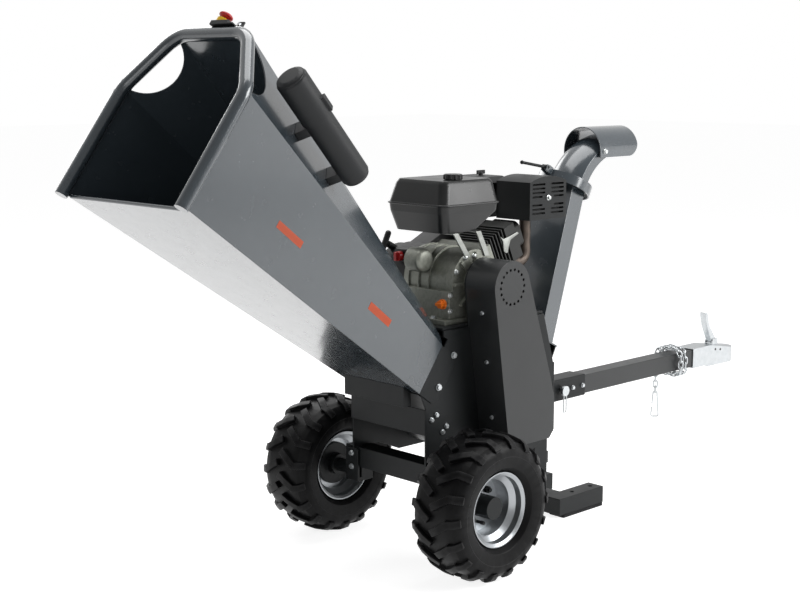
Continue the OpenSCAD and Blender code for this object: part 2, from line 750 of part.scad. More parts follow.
module at_chute() translate([rotor_x, 0, rotor_z]) rotate([0, chute_lean, 0]) children();

module duct(z0, z1, w0, w1, inset) hull() {
    skin = 0.01;
    for (e = [[z0, w0], [z1 - skin, w1]]) translate([duct_mid, 0, e[0]]) linear_extrude(skin)
        square([chute_depth + 2 * (duct_wall - inset), e[1] + 2 * (duct_wall - inset)], center = true);
}

module discharge_chute() color(slate) at_chute() difference() {
    flange_lip = 6;
    union() {
        duct(spout_len, chute_top, chute_foot_w, chute_top_w, 0);
        translate([duct_mid, 0, spout_len - flange_t / 2])
            cube([chute_depth + 2 * (duct_wall + flange_lip), 2 * inside, flange_t], center = true);
        translate([duct_mid, 0, chute_top - collar_t]) cylinder(r = collar_r, h = collar_t);
    }
    duct(spout_len - flange_t - cut, chute_top + cut, chute_foot_w, chute_top_w, duct_wall);
}

module elbow_section(inset) {
    w = elbow_w / 2 - inset;
    rise = 28;
    arch = (w * w + rise * rise) / (2 * rise);
    intersection() {
        translate([elbow_r - elbow_depth / 2 + inset, -w]) square([elbow_depth - 2 * inset, 2 * w]);
        translate([elbow_r + elbow_depth / 2 - inset - arch, 0]) circle(arch, $fn = 96);
    }
}

// The bend of the elbow, run past both ends by an angle where it is the cut
module elbow_bend(inset, past) translate([elbow_r, 0, 0]) rotate([90, 0, 0])
    rotate([0, 0, 180 - elbow_turn - past]) rotate_extrude(angle = elbow_turn + 2 * past, $fn = 96)
        elbow_section(inset);

// The hood's pivot, on the elbow's side walls near its outlet
hood_wall = 3;
elbow_x = rotor_x + (duct_mid + elbow_r) * cos(chute_lean) + elbow_base * sin(chute_lean);
elbow_z = rotor_z - (duct_mid + elbow_r) * sin(chute_lean) + elbow_base * cos(chute_lean);
outlet_angle = 180 - chute_lean - elbow_turn;
pivot_angle = outlet_angle + 15;
pivot_x = elbow_x + (elbow_r - 4) * cos(pivot_angle);
pivot_z = elbow_z + (elbow_r - 4) * sin(pivot_angle);
pivot_r = 5;
boss_r = 11;
hood_drop = 2;
boss_end = sqrt(pow(hood_r, 2) - pow(boss_r - hood_drop, 2)) - gap;

module at_collar() at_chute() translate([duct_mid, 0, elbow_base]) children();

module chute_elbow() color(slate) {
    skirt_t = 5;
    skirt_h = 3 * collar_t;
    run_past = 3;
    difference() {
        union() {
            at_collar() translate([0, 0, -skirt_h]) cylinder(r = collar_r + skirt_t, h = skirt_h + collar_t);
            at_collar() elbow_bend(0, 0);
            for (side = [-1, 1]) mirror([0, side > 0 ? 1 : 0, 0])
                rod_y(pivot_x, pivot_z, boss_r, -boss_end, -elbow_w / 2 + duct_wall / 2);
        }
        at_collar() translate([0, 0, -skirt_h - cut]) cylinder(r = collar_r + gap, h = skirt_h + cut - gap);
        at_collar() elbow_bend(duct_wall, run_past);
        rod_y(pivot_x, pivot_z, pivot_r + fit, -hood_r, hood_r);
    }
    for (y = [-9, 9]) translate([lever_x, y, lever_z]) rotate([0, chute_lean, 0])
        plate_y(-2, 2) difference() {
            polygon([[-7, -12], [24, -16], [24, 8], [6, 9], [-7, 7]]);
            circle(4 + fit);
        }
}

// Half-round deflector with straight skirts and rounded lower front corners
module chute_hood() color(slate) {
    skirt = 20;
    corner = 44;
    back = pivot_x - 22;
    front = back + hood_len;
    axis_z = pivot_z + hood_drop;
    difference() {
        intersection() {
            union() {
                rod_x(0, axis_z, hood_r + hood_wall, back, front);
                box([back, -hood_r - hood_wall, axis_z - skirt], [front, hood_r + hood_wall, axis_z]);
            }
            plate_y(-hood_r - 2 * hood_wall, hood_r + 2 * hood_wall) union() {
                translate([back, axis_z - skirt]) square([hood_len - corner, hood_r + 2 * skirt]);
                translate([back, axis_z - skirt + corner]) square([hood_len, hood_r + skirt]);
                translate([front - corner, axis_z - skirt + corner]) circle(corner);
            }
        }
        rod_x(0, axis_z, hood_r, back - cut, front + cut);
        box([back - cut, -hood_r, axis_z - skirt - cut], [front + cut, hood_r, axis_z]);
    }
    for (side = [-1, 1]) mirror([0, side > 0 ? 1 : 0, 0]) {
        rod_y(pivot_x, pivot_z, pivot_r, -hood_r - 1, -elbow_w / 2 + 4);
        translate([pivot_x, -hood_r - hood_wall, pivot_z]) rotate([90, 0, 0]) bolt_head(8);
    }
}

// Cam lever that locks the elbow on the collar
lever_stand = collar_r + 26;
lever_x = rotor_x + (duct_mid - lever_stand) * cos(chute_lean) + (elbow_base + 4) * sin(chute_lean);
lever_z = rotor_z - (duct_mid - lever_stand) * sin(chute_lean) + (elbow_base + 4) * cos(chute_lean);

module clamp_lever() color(satin_black) {
    arm = 112;
    rod_y(lever_x, lever_z, 4, -12, 12);
    rod_y(lever_x, lever_z, 8, -7 + gap, 7 - gap);
    translate([lever_x, 0, lever_z]) rotate([0, 10, 0]) {
        rod_x(0, 0, 4.5, -arm, -6);
        translate([-arm, 0, 0]) sphere(6);
    }
}

// Belt drive

guard_low_left = rotor_x - driven_d / 2 - 16;
guard_low_right = rotor_x + driven_d / 2 + 15;
guard_bottom = rotor_z - driven_d / 2 - 8;
guard_turn_left = 192;
guard_turn_right = 16;

module guard_outline(inset) {
    r = guard_r - inset;
    translate([crank_x, crank_z]) circle(r, $fn = 96);
    polygon([[crank_x + r * cos(guard_turn_left), crank_z + r * sin(guard_turn_left)],
        [guard_low_left + inset, rotor_z - 32], [guard_low_left + 8 + inset, guard_bottom + 16],
        [guard_low_left + 22 + inset, guard_bottom + inset],
        [guard_low_right - 20 - inset, guard_bottom + inset],
        [guard_low_right - inset, guard_bottom + 24], [guard_low_right - inset, rotor_z + 22],
        [guard_low_right - 15 - inset, rotor_z + 76],
        [crank_x + r * cos(guard_turn_right), crank_z + r * sin(guard_turn_right)]]);
}

// Left edge of the guard at a height, and its lean
guard_top_left = [crank_x + guard_r * cos(guard_turn_left), crank_z + guard_r * sin(guard_turn_left)];
guard_run = [guard_low_left, rotor_z - 32] - guard_top_left;
guard_slant = atan2(guard_run[0], -guard_run[1]);
function guard_left(z) = guard_top_left[0] + guard_run[0] * (z - guard_top_left[1]) / guard_run[1];

module belt_guard() color(satin_black) {
    vent_count = 18;
    vent_ring = 48;
    vent_r = 4;
    difference() {
        plate_y(guard_face, -half) guard_outline(0);
        plate_y(guard_face + guard_wall, -half + cut) guard_outline(guard_wall);
        for (i = [0 : vent_count - 1]) rod_y(crank_x + vent_ring * cos(i * 360 / vent_count),
            crank_z + vent_ring * sin(i * 360 / vent_count), vent_r,
            guard_face - cut, guard_face + guard_wall + cut);
    }
}

// A two-groove pulley about Z, standing on z = 0
module pulley(d, bore) {
    r = d / 2;
    mid = pulley_w / 2;
    grooves = [for (side = [-1, 1]) mid + side * groove_pitch / 2];
    rotate_extrude($fn = 96) polygon(concat([[bore, 0], [r, 0]],
        [for (g = grooves, p = [[r, -1], [r - groove_depth, -0.8], [r - groove_depth, 0.8], [r, 1]])
            [p[0], g + p[1] * groove_w / 2]],
        [[r, pulley_w], [bore, pulley_w]]));
}

module at_pulley(x, z) translate([x, pulley_near, z]) rotate([-90, 0, 0]) children();

module drive_pulley() color(cast_grey) at_pulley(crank_x, crank_z) pulley(drive_d, crank_r);
module driven_pulley() color(cast_grey) at_pulley(rotor_x, rotor_z) pulley(driven_d, shaft_r);

// Outline round both pulleys, set in from their rims
module belt_loop(inset) {
    r1 = drive_d / 2 - inset;
    r2 = driven_d / 2 - inset;
    line = atan2(rotor_z - crank_z, rotor_x - crank_x);
    open = acos((r1 - r2) / belt_span);
    translate([crank_x, crank_z]) circle(r1, $fn = 96);
    translate([rotor_x, rotor_z]) circle(r2, $fn = 96);
    polygon([for (e = [[crank_x, crank_z, r1, 1], [crank_x, crank_z, r1, -1], [rotor_x, rotor_z, r2, -1],
        [rotor_x, rotor_z, r2, 1]])
        [e[0] + e[2] * cos(line + e[3] * open), e[1] + e[2] * sin(line + e[3] * open)]]);
}

module drive_belts() color(rubber) {
    belt_w = 0.75 * groove_w;
    for (side = [-1, 1]) translate([0, pulley_y + side * groove_pitch / 2, 0]) difference() {
        plate_y(-belt_w / 2, belt_w / 2) belt_loop(1);
        plate_y(-belt_w, belt_w) belt_loop(groove_depth - gap);
    }
}

module crankshaft() color(silver) rod_y(crank_x, crank_z, crank_r, pulley_near - 8, case_seam - gap);

// Cutting drum
knife_w = 2 * inside - 50;
knife_t = 12;
knife_in = 74;
knife_out = drum_d / 2 + 7;

module at_rotor() translate([rotor_x, 0, rotor_z]) children();

module rotor_drum() color(cast_grey) {
    disc_t = 12;
    pad_t_rotor = 30;
    difference() {
        union() {
            for (y = [-inside + 10, -disc_t / 2, inside - 10 - disc_t])
                rod_y(rotor_x, rotor_z, drum_d / 2, y, y + disc_t);
            for (turn = [0, 180]) at_rotor() rotate([0, turn, 0])
                box([30, -inside + 12, -pad_t_rotor], [drum_d / 2 - 14, inside - 12, 0]);
            rod_y(rotor_x, rotor_z, shaft_r + 14, -inside + 10, inside - 10);
            rod_y(rotor_x, rotor_z, shaft_r, pulley_near - 8, half + 32);
        }
        for (turn = [0, 180]) at_rotor() rotate([0, turn, 0])
            box([knife_in - 1, -knife_w / 2 - 1, 0], [knife_out + 20, knife_w / 2 + 1, knife_t + 24]);
    }
}

module rotor_knives() color(silver) for (turn = [0, 180]) at_rotor() rotate([0, turn, 0])
    plate_y(-knife_w / 2, knife_w / 2)
        polygon([[knife_in, 0], [knife_out, 0], [knife_out - 14, knife_t], [knife_in, knife_t]]);

module rotor_bearings() color(cast_grey) for (side = [-1, 1]) {
    deep = 24;
    mirror([0, side > 0 ? 1 : 0, 0]) difference() {
        union() {
            rod_y(rotor_x, rotor_z, shaft_r + 26, -half - deep, -half);
            plate_y(-half - 10, -half) translate([rotor_x - 50, rotor_z - 50]) round_rect(100, 100, 16);
        }
        rod_y(rotor_x, rotor_z, shaft_r + fit, -half - deep - cut, -half + cut);
    }
}

// Fixed knife at the end of the infeed floor
bed_angle = 192;

module bed_knife() color(silver) {
    tip = [rotor_x + (knife_out + 3) * cos(bed_angle), rotor_z + (knife_out + 3) * sin(bed_angle)];
    plate_y(-inside, inside) polygon([tip, tip + [-60, 44], tip + [-52, 54], tip + [4, 13]]);
}

// Engine

case_seam = case_near + 36;
case_far = 75;
case_r = 92;
engine_y = -20;
barrel_tilt = 25;

module case_outline() {
    translate([crank_x, crank_z]) circle(case_r, $fn = 96);
    translate([crank_x - 104, deck_top]) square([214, crank_rise - 18]);
    translate([crank_x, crank_z]) rotate(barrel_tilt) translate([0, -66]) square([98, 132]);
}

module crankcase() color(cast_grey) difference() {
    union() {
        plate_y(case_seam, case_far) case_outline();
        box([foot_bolts[0] - 12, case_near, deck_top], [foot_bolts[1] + 12, case_far + 8, deck_top + foot_t]);
        for (y = [-30, 10, 50]) plate_y(y, y + 6) translate([crank_x, crank_z])
            circle(case_r + case_rib, $fn = 96);
    }
    rod_y(crank_x, crank_z, crank_r + 2, case_near - cut, case_seam + 40);
    box([crank_x - 200, case_near - cut, deck_top + foot_t], [crank_x + 200, case_seam, crank_z + 150]);
}

module crankcase_cover() color(cast_grey) {
    rib_count = 8;
    difference() {
        union() {
            plate_y(case_near + 8, case_seam) intersection() {
                case_outline();
                translate([crank_x - 150, deck_top + foot_t]) square([300, 400]);
            }
            rod_y(crank_x, crank_z, 46, case_near - 12, case_near + 8);
            for (i = [0 : rib_count - 1]) translate([crank_x, case_near + 8, crank_z])
                rotate([0, i * 360 / rib_count, 0]) box([40, -8, -4], [case_r - 6, 0, 4]);
            rod_x(case_near + 22, dip_z, 13, crank_x - 112, crank_x - 60);
        }
        rod_y(crank_x, crank_z, crank_r + fit, case_near - 13, case_seam + cut);
        rod_x(case_near + 22, dip_z, dip_r + fit, crank_x - 113, crank_x - 70);
    }
}

dip_z = crank_z - 52;
dip_r = 8;

module dipstick() color(orange) {
    rod_x(case_near + 22, dip_z, dip_r, crank_x - 113, crank_x - 74);
    rod_x(case_near + 22, dip_z, 14, crank_x - 120, crank_x - 112 - gap);
    rod_x(case_near + 22, dip_z, 11, crank_x - 130, crank_x - 120);
    box([crank_x - 134, case_near + 10, dip_z - 4], [crank_x - 120, case_near + 34, dip_z + 4]);
}

// Barrel, fins, head and rocker cover along the slanted cylinder axis
fin_count = 8;
fin_t = 4;
fin_pitch = 13;
barrel_start = 98;
head_start = barrel_start + fin_count * fin_pitch;
head_end = head_start + 40;
rocker_end = head_end + 32;
head_half = 54;
fin_half = 64;

module at_barrel() translate([crank_x, engine_y, crank_z]) rotate([0, -barrel_tilt, 0]) children();

module cylinder_block() color(cast_grey) at_barrel() {
    box([barrel_start, -46, -46], [head_start, 46, 46]);
    for (i = [0 : fin_count - 1]) box([barrel_start + i * fin_pitch + fin_pitch - fin_t, -fin_half, -60],
        [barrel_start + (i + 1) * fin_pitch, fin_half, 60]);
    box([head_start, -fin_half, -head_half], [head_end, fin_half, head_half]);
    translate([head_end, 0, 0]) rotate([90, 0, 90]) linear_extrude(rocker_end - head_end)
        translate([-52, -40]) round_rect(104, 80, 18);
}

module blower_housing() color(gloss_black) {
    blower_r = 92;
    blower_t = 75;
    shroud_w = 160;
    shroud_len = 170;
    recoil_r = 86;
    recoil_far = case_far + 115;
    difference() {
        union() {
            plate_y(case_far, case_far + blower_t) translate([crank_x, crank_z]) {
                circle(blower_r, $fn = 96);
                rotate(barrel_tilt) translate([0, -shroud_w / 2]) square([shroud_len, shroud_w]);
            }
            rod_y(crank_x, crank_z, recoil_r, case_far + blower_t, recoil_far);
            at_rope() translate([0, 0, -110]) cylinder(r = 10, h = 110 - rope_stem - gap);
            box([key_face, key_y - 22, key_z - 20], [crank_x - 40, key_y + 22, key_z + 20]);
        }
        at_rope() translate([0, 0, -rope_travel - 30]) cylinder(r = rope_r + gap, h = rope_travel + 30);
        for (i = [0 : 11]) translate([crank_x, recoil_far - 6, crank_z]) rotate([0, i * 30, 0])
            box([40, 0, -5], [74, 10, 5]);
        rod_x(key_y, key_z, 6 + fit, key_face - cut, key_face + 26);
        rod_y(throttle_x, throttle_z, 4 + fit, case_far + 60, case_far + 76);
    }
}

// Recoil rope: local z is the way it is pulled, from the middle of the grip
rope_r = 2.5;
rope_tilt = 26.7;
rope_stem = 12;
rope_travel = 140;
rope_grip = [crank_x - 74, case_far + 96, crank_z + 94];

module at_rope() translate(rope_grip) rotate([0, rope_tilt - 90, 0]) children();

module recoil_handle() color(gloss_black) at_rope() {
    grip_r = 9;
    grip_half = 28;
    translate([0, 0, -rope_travel - 24]) cylinder(r = rope_r, h = rope_travel + 24);
    translate([0, 0, -rope_stem]) cylinder(r = 8, h = rope_stem);
    translate([-grip_half, 0, 0]) rotate([0, 90, 0]) cylinder(r = grip_r, h = 2 * grip_half);
    for (end = [-grip_half, grip_half]) translate([end, 0, 0]) sphere(grip_r);
}

// Ignition switch on the front of the blower
key_y = case_far + 24;
key_z = crank_z + 61;
key_face = crank_x - 80;

module ignition_key() color(red) {
    rod_x(key_y, key_z, 6, key_face - 8, key_face + 24);
    rod_x(key_y, key_z, 14, key_face - 16, key_face - gap);
    box([key_face - 24, key_y - 5, key_z - 12], [key_face - 15, key_y + 5, key_z + 12]);
}

throttle_x = crank_x + 84;
throttle_z = crank_z + 84;

module throttle_lever() color(satin_black) {
    y = case_far + 75 + gap;
    rod_y(throttle_x, throttle_z, 4, case_far + 62, y + 2);
    translate([throttle_x, y, throttle_z]) rotate([0, -50, 0]) {
        box([0, 0, -6], [64, 4, 6]);
        rod_y(0, 0, 9, 0, 4);
        rod_y(64, 0, 11, 0, 10);
    }
}

starter_x = crank_x - 117;
starter_z = crank_z + 64;
starter_r = 34;
starter_far = 14;
case_rib = 5;

module starter_motor() color(cast_grey) {
    rod_y(starter_x, starter_z, starter_r, -28, starter_far);
    translate([starter_x, -28, starter_z]) rotate([90, 0, 0]) rotate_extrude($fn = 64)
        polygon([[0, 0], [starter_r, 0], [starter_r - 2, 6], [starter_r - 8, 11],
            [starter_r - 18, 14], [0, 15]]);
    plate_y(starter_far - 20, starter_far) difference() {
        polygon([[starter_x, starter_z - 34], [crank_x - 60, crank_z + 20], [crank_x - 40, crank_z + 90],
            [starter_x, starter_z + 34]]);
        translate([crank_x, crank_z]) circle(case_r + case_rib + gap, $fn = 96);
    }
}

tank_a = [crank_x - 141, -130, crank_z + 143];
tank_b = [crank_x + 99, 105, crank_z + 287];
tank_seam = crank_z + 219;
cap_x = crank_x - 50;
cap_y = -77;
neck_r = 19;
cap_r = 25;

module tank_slab(z, inset_x0, inset_x1, inset_y, r, h = 1)
    translate([tank_a[0] + inset_x0, tank_a[1] + inset_y, z])
        linear_extrude(h) round_rect(tank_b[0] - tank_a[0] - inset_x0 - inset_x1,
            tank_b[1] - tank_a[1] - 2 * inset_y, r);

module fuel_tank() color(gloss_black) {
    hull() {
        tank_slab(tank_seam - 2, 4, 4, 4, 24, $fn = 32);
        tank_slab(tank_seam - 22, 6, 6, 6, 24, $fn = 32);
        tank_slab(tank_a[2], 22, 84, 18, 24, $fn = 32);
    }
    tank_slab(tank_seam - 1, 0, 0, 0, 26, 4);
    hull() {
        tank_slab(tank_seam + 3, 4, 4, 4, 24, $fn = 32);
        tank_slab(tank_b[2] - 12, 18, 12, 16, 24, $fn = 32);
        tank_slab(tank_b[2] - 1, 26, 20, 24, 18, $fn = 32);
    }
    translate([cap_x, cap_y, tank_b[2]]) cylinder(r = neck_r, h = 10);
}

module fuel_cap() color(gloss_black) translate([cap_x, cap_y, tank_b[2] + gap]) difference() {
    union() {
        cylinder(r = cap_r, h = 16);
        for (i = [0 : 11]) rotate([0, 0, i * 30]) translate([cap_r, 0, 2]) cylinder(r = 3, h = 12, $fn = 16);
    }
    translate([0, 0, -cut]) cylinder(r = neck_r + fit, h = 12 + cut);
}

module tank_brackets() color(silver) {
    strap_t = 5;
    y = case_near + 8;
    top = tank_a[2] - crank_z;
    for (e = [[-34, 74, -84], [46, 70, 8]]) {
        plate_y(y - strap_t, y) polygon([for (p = [[e[0] - 10, e[1]], [e[0] + 10, e[1]], [e[2] + 10, top],
            [e[2] - 10, top]]) [crank_x + p[0], crank_z + p[1]]]);
        box([crank_x + e[2] - 10, y - strap_t, tank_a[2] - 4], [crank_x + e[2] + 10, y + 40, tank_a[2]]);
    }
}

cleaner_a = [crank_x + 182, 12, crank_z + 159];
cleaner_b = [crank_x + 312, 172, crank_z + 276];

module air_cleaner() color(gloss_black) {
    round_box(cleaner_a, [cleaner_b[0], cleaner_b[1], cleaner_a[2] + 40], 22);
    round_box([cleaner_a[0] + 5, cleaner_a[1] + 5, cleaner_a[2] + 39],
        [cleaner_b[0] - 5, cleaner_b[1] - 5, cleaner_b[2] - 14], 20);
    hull() {
        round_box([cleaner_a[0] + 5, cleaner_a[1] + 5, cleaner_b[2] - 15],
            [cleaner_b[0] - 5, cleaner_b[1] - 5, cleaner_b[2] - 13], 20, $fn = 32);
        round_box([cleaner_a[0] + 22, cleaner_a[1] + 22, cleaner_b[2] - 2],
            [cleaner_b[0] - 22, cleaner_b[1] - 22, cleaner_b[2]], 16, $fn = 32);
    }
    translate([(cleaner_a[0] + cleaner_b[0]) / 2, (cleaner_a[1] + cleaner_b[1]) / 2, cleaner_b[2]]) {
        cylinder(r = 7, h = 10);
        box([-18, -2, 4], [18, 2, 16]);
    }
}

carb_x = crank_x + 196;
carb_z = crank_z + 110;

module carburettor() color(silver) difference() {
    union() {
        rod_y(carb_x, carb_z, 24, engine_y + fin_half + gap, 118);
        box([carb_x - 24, 70, carb_z], [carb_x + 24, 112, cleaner_a[2]]);
        translate([carb_x, 92, carb_z - 48]) cylinder(r = 22, h = 48);
    }
    rod_y(carb_x, carb_z, 4 + fit, 100, 119);
}

module choke_lever() color(satin_black) {
    rod_y(carb_x, carb_z, 4, 102, 120);
    translate([carb_x, 118 + gap, carb_z]) rotate([0, -60, 0]) {
        box([0, 0, -5], [42, 3, 5]);
        rod_y(0, 0, 8, 0, 3);
        rod_y(42, 0, 8, 0, 8);
    }
}

muffler_a = [crank_x + 216, -130, crank_z + 157];
muffler_b = [crank_x + 379, 0, crank_z + 283];
arch_h = 16;
arch_wall = 2.5;
slot_pitch = 12;
slot_h = 5.5;
slot_low = muffler_a[2] + 16;

// Arched outline of the muffler guard, set in
module guard_arch(inset) {
    w = muffler_b[0] - muffler_a[0] - 2 * inset;
    r = (w * w / 4 + arch_h * arch_h) / (2 * arch_h);
    translate([muffler_a[0] + inset, muffler_a[2]]) square([w, muffler_b[2] - muffler_a[2] - arch_h - inset]);
    intersection() {
        translate([muffler_a[0] + inset, muffler_a[2]]) square([w, muffler_b[2] - muffler_a[2]]);
        translate([(muffler_a[0] + muffler_b[0]) / 2, muffler_b[2] - inset - r]) circle(r, $fn = 96);
    }
}

module muffler_guard() color(satin_black) {
    rows = 8;
    mid = (muffler_a[0] + muffler_b[0]) / 2;
    difference() {
        plate_y(muffler_a[1], muffler_b[1]) guard_arch(0);
        plate_y(muffler_a[1] + arch_wall, muffler_b[1] + cut) translate([0, -cut]) guard_arch(arch_wall);
        plate_y(muffler_a[1] + arch_wall, muffler_b[1] + cut)
            translate([muffler_a[0] + arch_wall, muffler_a[2] - 2 * cut])
            square([muffler_b[0] - muffler_a[0] - 2 * arch_wall, 20]);
        for (i = [0 : rows - 1], side = [-1, 1]) if (i != 3) {
            inner = abs(i - 3) == 1 ? 26 : 14;
            box([side < 0 ? muffler_a[0] + 12 : mid + inner, muffler_a[1] - cut, slot_low + i * slot_pitch],
                [side < 0 ? mid - inner : muffler_b[0] - 12, muffler_a[1] + arch_wall + cut,
                    slot_low + i * slot_pitch + slot_h]);
        }
    }
}

pipe_r = 17;
pipe_y = engine_y - 26;

module muffler() color("#4a3f37") {
    inset = 9;
    down = crank_x + 292;
    foot_x = crank_x + 232;
    foot_z = crank_z + 28;
    seat = 18;
    round_box([muffler_a[0] + inset, muffler_a[1] + inset, muffler_a[2] + 10],
        [muffler_b[0] - inset, muffler_b[1] - inset, muffler_b[2] - arch_h - 10], 20);
    translate([0, pipe_y, 0]) rotate([90, 0, 0]) tube_run([[down, muffler_a[2] + 12], [down, foot_z],
        [foot_x, foot_z], [foot_x - seat * sin(barrel_tilt), foot_z + seat * cos(barrel_tilt)]], pipe_r, 28);
    rod_y((muffler_a[0] + muffler_b[0]) / 2, slot_low + 3 * slot_pitch + slot_h / 2, 4,
        muffler_a[1] + arch_wall, muffler_a[1] + inset + cut);
}

// Wheels: local z points outwards from the machine

module at_wheel(side) translate([0, side * track / 2, tyre_r]) rotate([side * -90, 0, 0]) children();

module tyre() color(rubber) {
    base_r = tyre_r - lug_h;
    bead_r = rim_d / 2 - 8;
    w = tyre_w / 2;
    seat = rim_w / 2 - 6;
    section = [[bead_r, -seat], [bead_r + 8, -seat - 1], [rim_d / 2 + 14, -w + 8],
        [(bead_r + base_r) / 2 + 6, -w], [base_r - 22, -w + 5], [base_r - 6, -w + 20], [base_r, -w + 42]];
    crown = [[base_r - 16, -w + 1], [tyre_r - 14, -w + 12], [tyre_r - 5, -w + 30], [tyre_r, -w + 58],
        [tyre_r, w - 58], [tyre_r - 5, w - 30], [tyre_r - 14, w - 12], [base_r - 16, w - 1]];
    mirrored = [for (i = [len(section) - 1 : -1 : 0]) [section[i][0], -section[i][1]]];
    inner = [[bead_r + 1, seat - 12], [base_r - 24, w - 26], [base_r - 16, 0], [base_r - 24, -w + 26],
        [bead_r + 1, -seat + 12]];
    difference() {
        union() {
            rotate_extrude($fn = 96) polygon(concat(section, mirrored));
            intersection() {
                rotate_extrude($fn = 96) polygon(concat([[0, -w + 1]], crown, [[0, w - 1]]));
                union() for (i = [0 : lug_count - 1], side = [-1, 1])
                    rotate([0, 0, (i + (side > 0 ? 0.5 : 0)) * 360 / lug_count]) lug(side, base_r);
            }
        }
        rotate_extrude($fn = 96)
            polygon(concat([[bead_r - 1, seat - 12]], inner, [[bead_r - 1, -seat + 12]]));
    }
}

// One chevron lug: a slanted bar on the crown and a block down the shoulder
module lug(side, base_r) {
    lug_w = 20;
    lug_slant = 32;
    translate([base_r - 4, 0, side * 4]) rotate([side * lug_slant, 0, 0])
        box([0, -lug_w / 2, side > 0 ? 0 : -62], [lug_h + 8, lug_w / 2, side > 0 ? 62 : 0]);
    translate([base_r - 24, side * 34 * -tan(lug_slant) * 1.55, side > 0 ? 52 : -tyre_w / 2 + 1])
        box([0, -lug_w / 2, 0], [28 + lug_h, lug_w / 2, tyre_w / 2 - 53]);
}

stud_ring = 48;
disc_z = -18;
disc_t = 5;

module rim() color(silver) {
    wall = 3;
    r = rim_d / 2;
    w = rim_w / 2;
    outer = [[r, -w], [r - 8 - gap, -w + 5], [r - 8 - gap, -w + 24], [r - 24, -w + 36], [r - 24, w - 36],
        [r - 8 - gap, w - 24], [r - 8 - gap, w - 5], [r, w]];
    difference() {
        union() {
            rotate_extrude($fn = 96) polygon(concat(outer,
                [for (i = [len(outer) - 1 : -1 : 0]) [outer[i][0] - wall, outer[i][1]]]));
            translate([0, 0, disc_z]) cylinder(r = r - 25, h = disc_t, $fn = 96);
        }
        translate([0, 0, disc_z - cut]) cylinder(r = hub_r + fit, h = disc_t + 2 * cut);
        for (i = [0 : 3]) rotate([0, 0, 45 + i * 90]) translate([stud_ring, 0, disc_z - cut])
            cylinder(r = 6 + fit, h = disc_t + 2 * cut);
    }
}

module hub() color(satin_black) {
    flange = 10;
    difference() {
        union() {
            translate([0, 0, -hub_half]) cylinder(r = hub_r, h = 2 * hub_half);
            translate([0, 0, disc_z - flange]) cylinder(r = stud_ring + 14, h = flange);
            for (i = [0 : 3]) rotate([0, 0, 45 + i * 90]) translate([stud_ring, 0, disc_z - cut]) {
                cylinder(r = 6, h = disc_t + 18);
                translate([0, 0, disc_t + cut]) cylinder(r = 10.5, h = 10, $fn = 6);
            }
        }
        translate([0, 0, -hub_half - cut]) cylinder(r = axle_r + fit, h = 2 * hub_half - 10);
    }
}

module tyre_near() at_wheel(-1) tyre();
module rim_near() at_wheel(-1) rim();
module hub_near() at_wheel(-1) hub();
module tyre_far() at_wheel(1) tyre();
module rim_far() at_wheel(1) rim();
module hub_far() at_wheel(1) hub();

module placed() translate([origin_shift, 0, 0]) children();

placed() side_plate_near();
placed() side_plate_far();
placed() axle_beam();
placed() stub_axles();
placed() front_cover();
placed() drum_housing();
placed() engine_deck();
placed() rear_post();
placed() parking_foot();
placed() foot_pads();
placed() tow_bar();
placed() coupler_body();
placed() safety_chain();
placed() bolts();
placed() belt_guard();
placed() rotor_bearings();
placed() bed_knife();
placed() hopper_funnel();
placed() hopper_hoop();
placed() hopper_flanges();
placed() estop_bracket();
placed() manual_tube();
placed() manual_cap();
placed() discharge_chute();
placed() crankcase();
placed() crankcase_cover();
placed() cylinder_block();
placed() blower_housing();
placed() starter_motor();
placed() fuel_tank();
placed() tank_brackets();
placed() air_cleaner();
placed() carburettor();
placed() choke_lever();
placed() throttle_lever();
placed() muffler();
placed() muffler_guard();
placed() drive_belts();
placed() crankshaft();
placed() drive_pulley();
placed() rotor_drum();
placed() rotor_knives();
placed() driven_pulley();
placed() tyre_near();
placed() rim_near();
placed() hub_near();
placed() tyre_far();
placed() rim_far();
placed() hub_far();
placed() chute_elbow();
placed() chute_hood();
placed() clamp_lever();
placed() estop_button();
placed() ignition_key();
placed() recoil_handle();
placed() fuel_cap();
placed() dipstick();
placed() hitch_pin();
placed() coupler_lever();
placed() chain_end();
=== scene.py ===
# Garden shredder: a towable petrol wood chipper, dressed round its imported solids
import json
import math

import bmesh
import bpy
from mathutils import Matrix, Vector

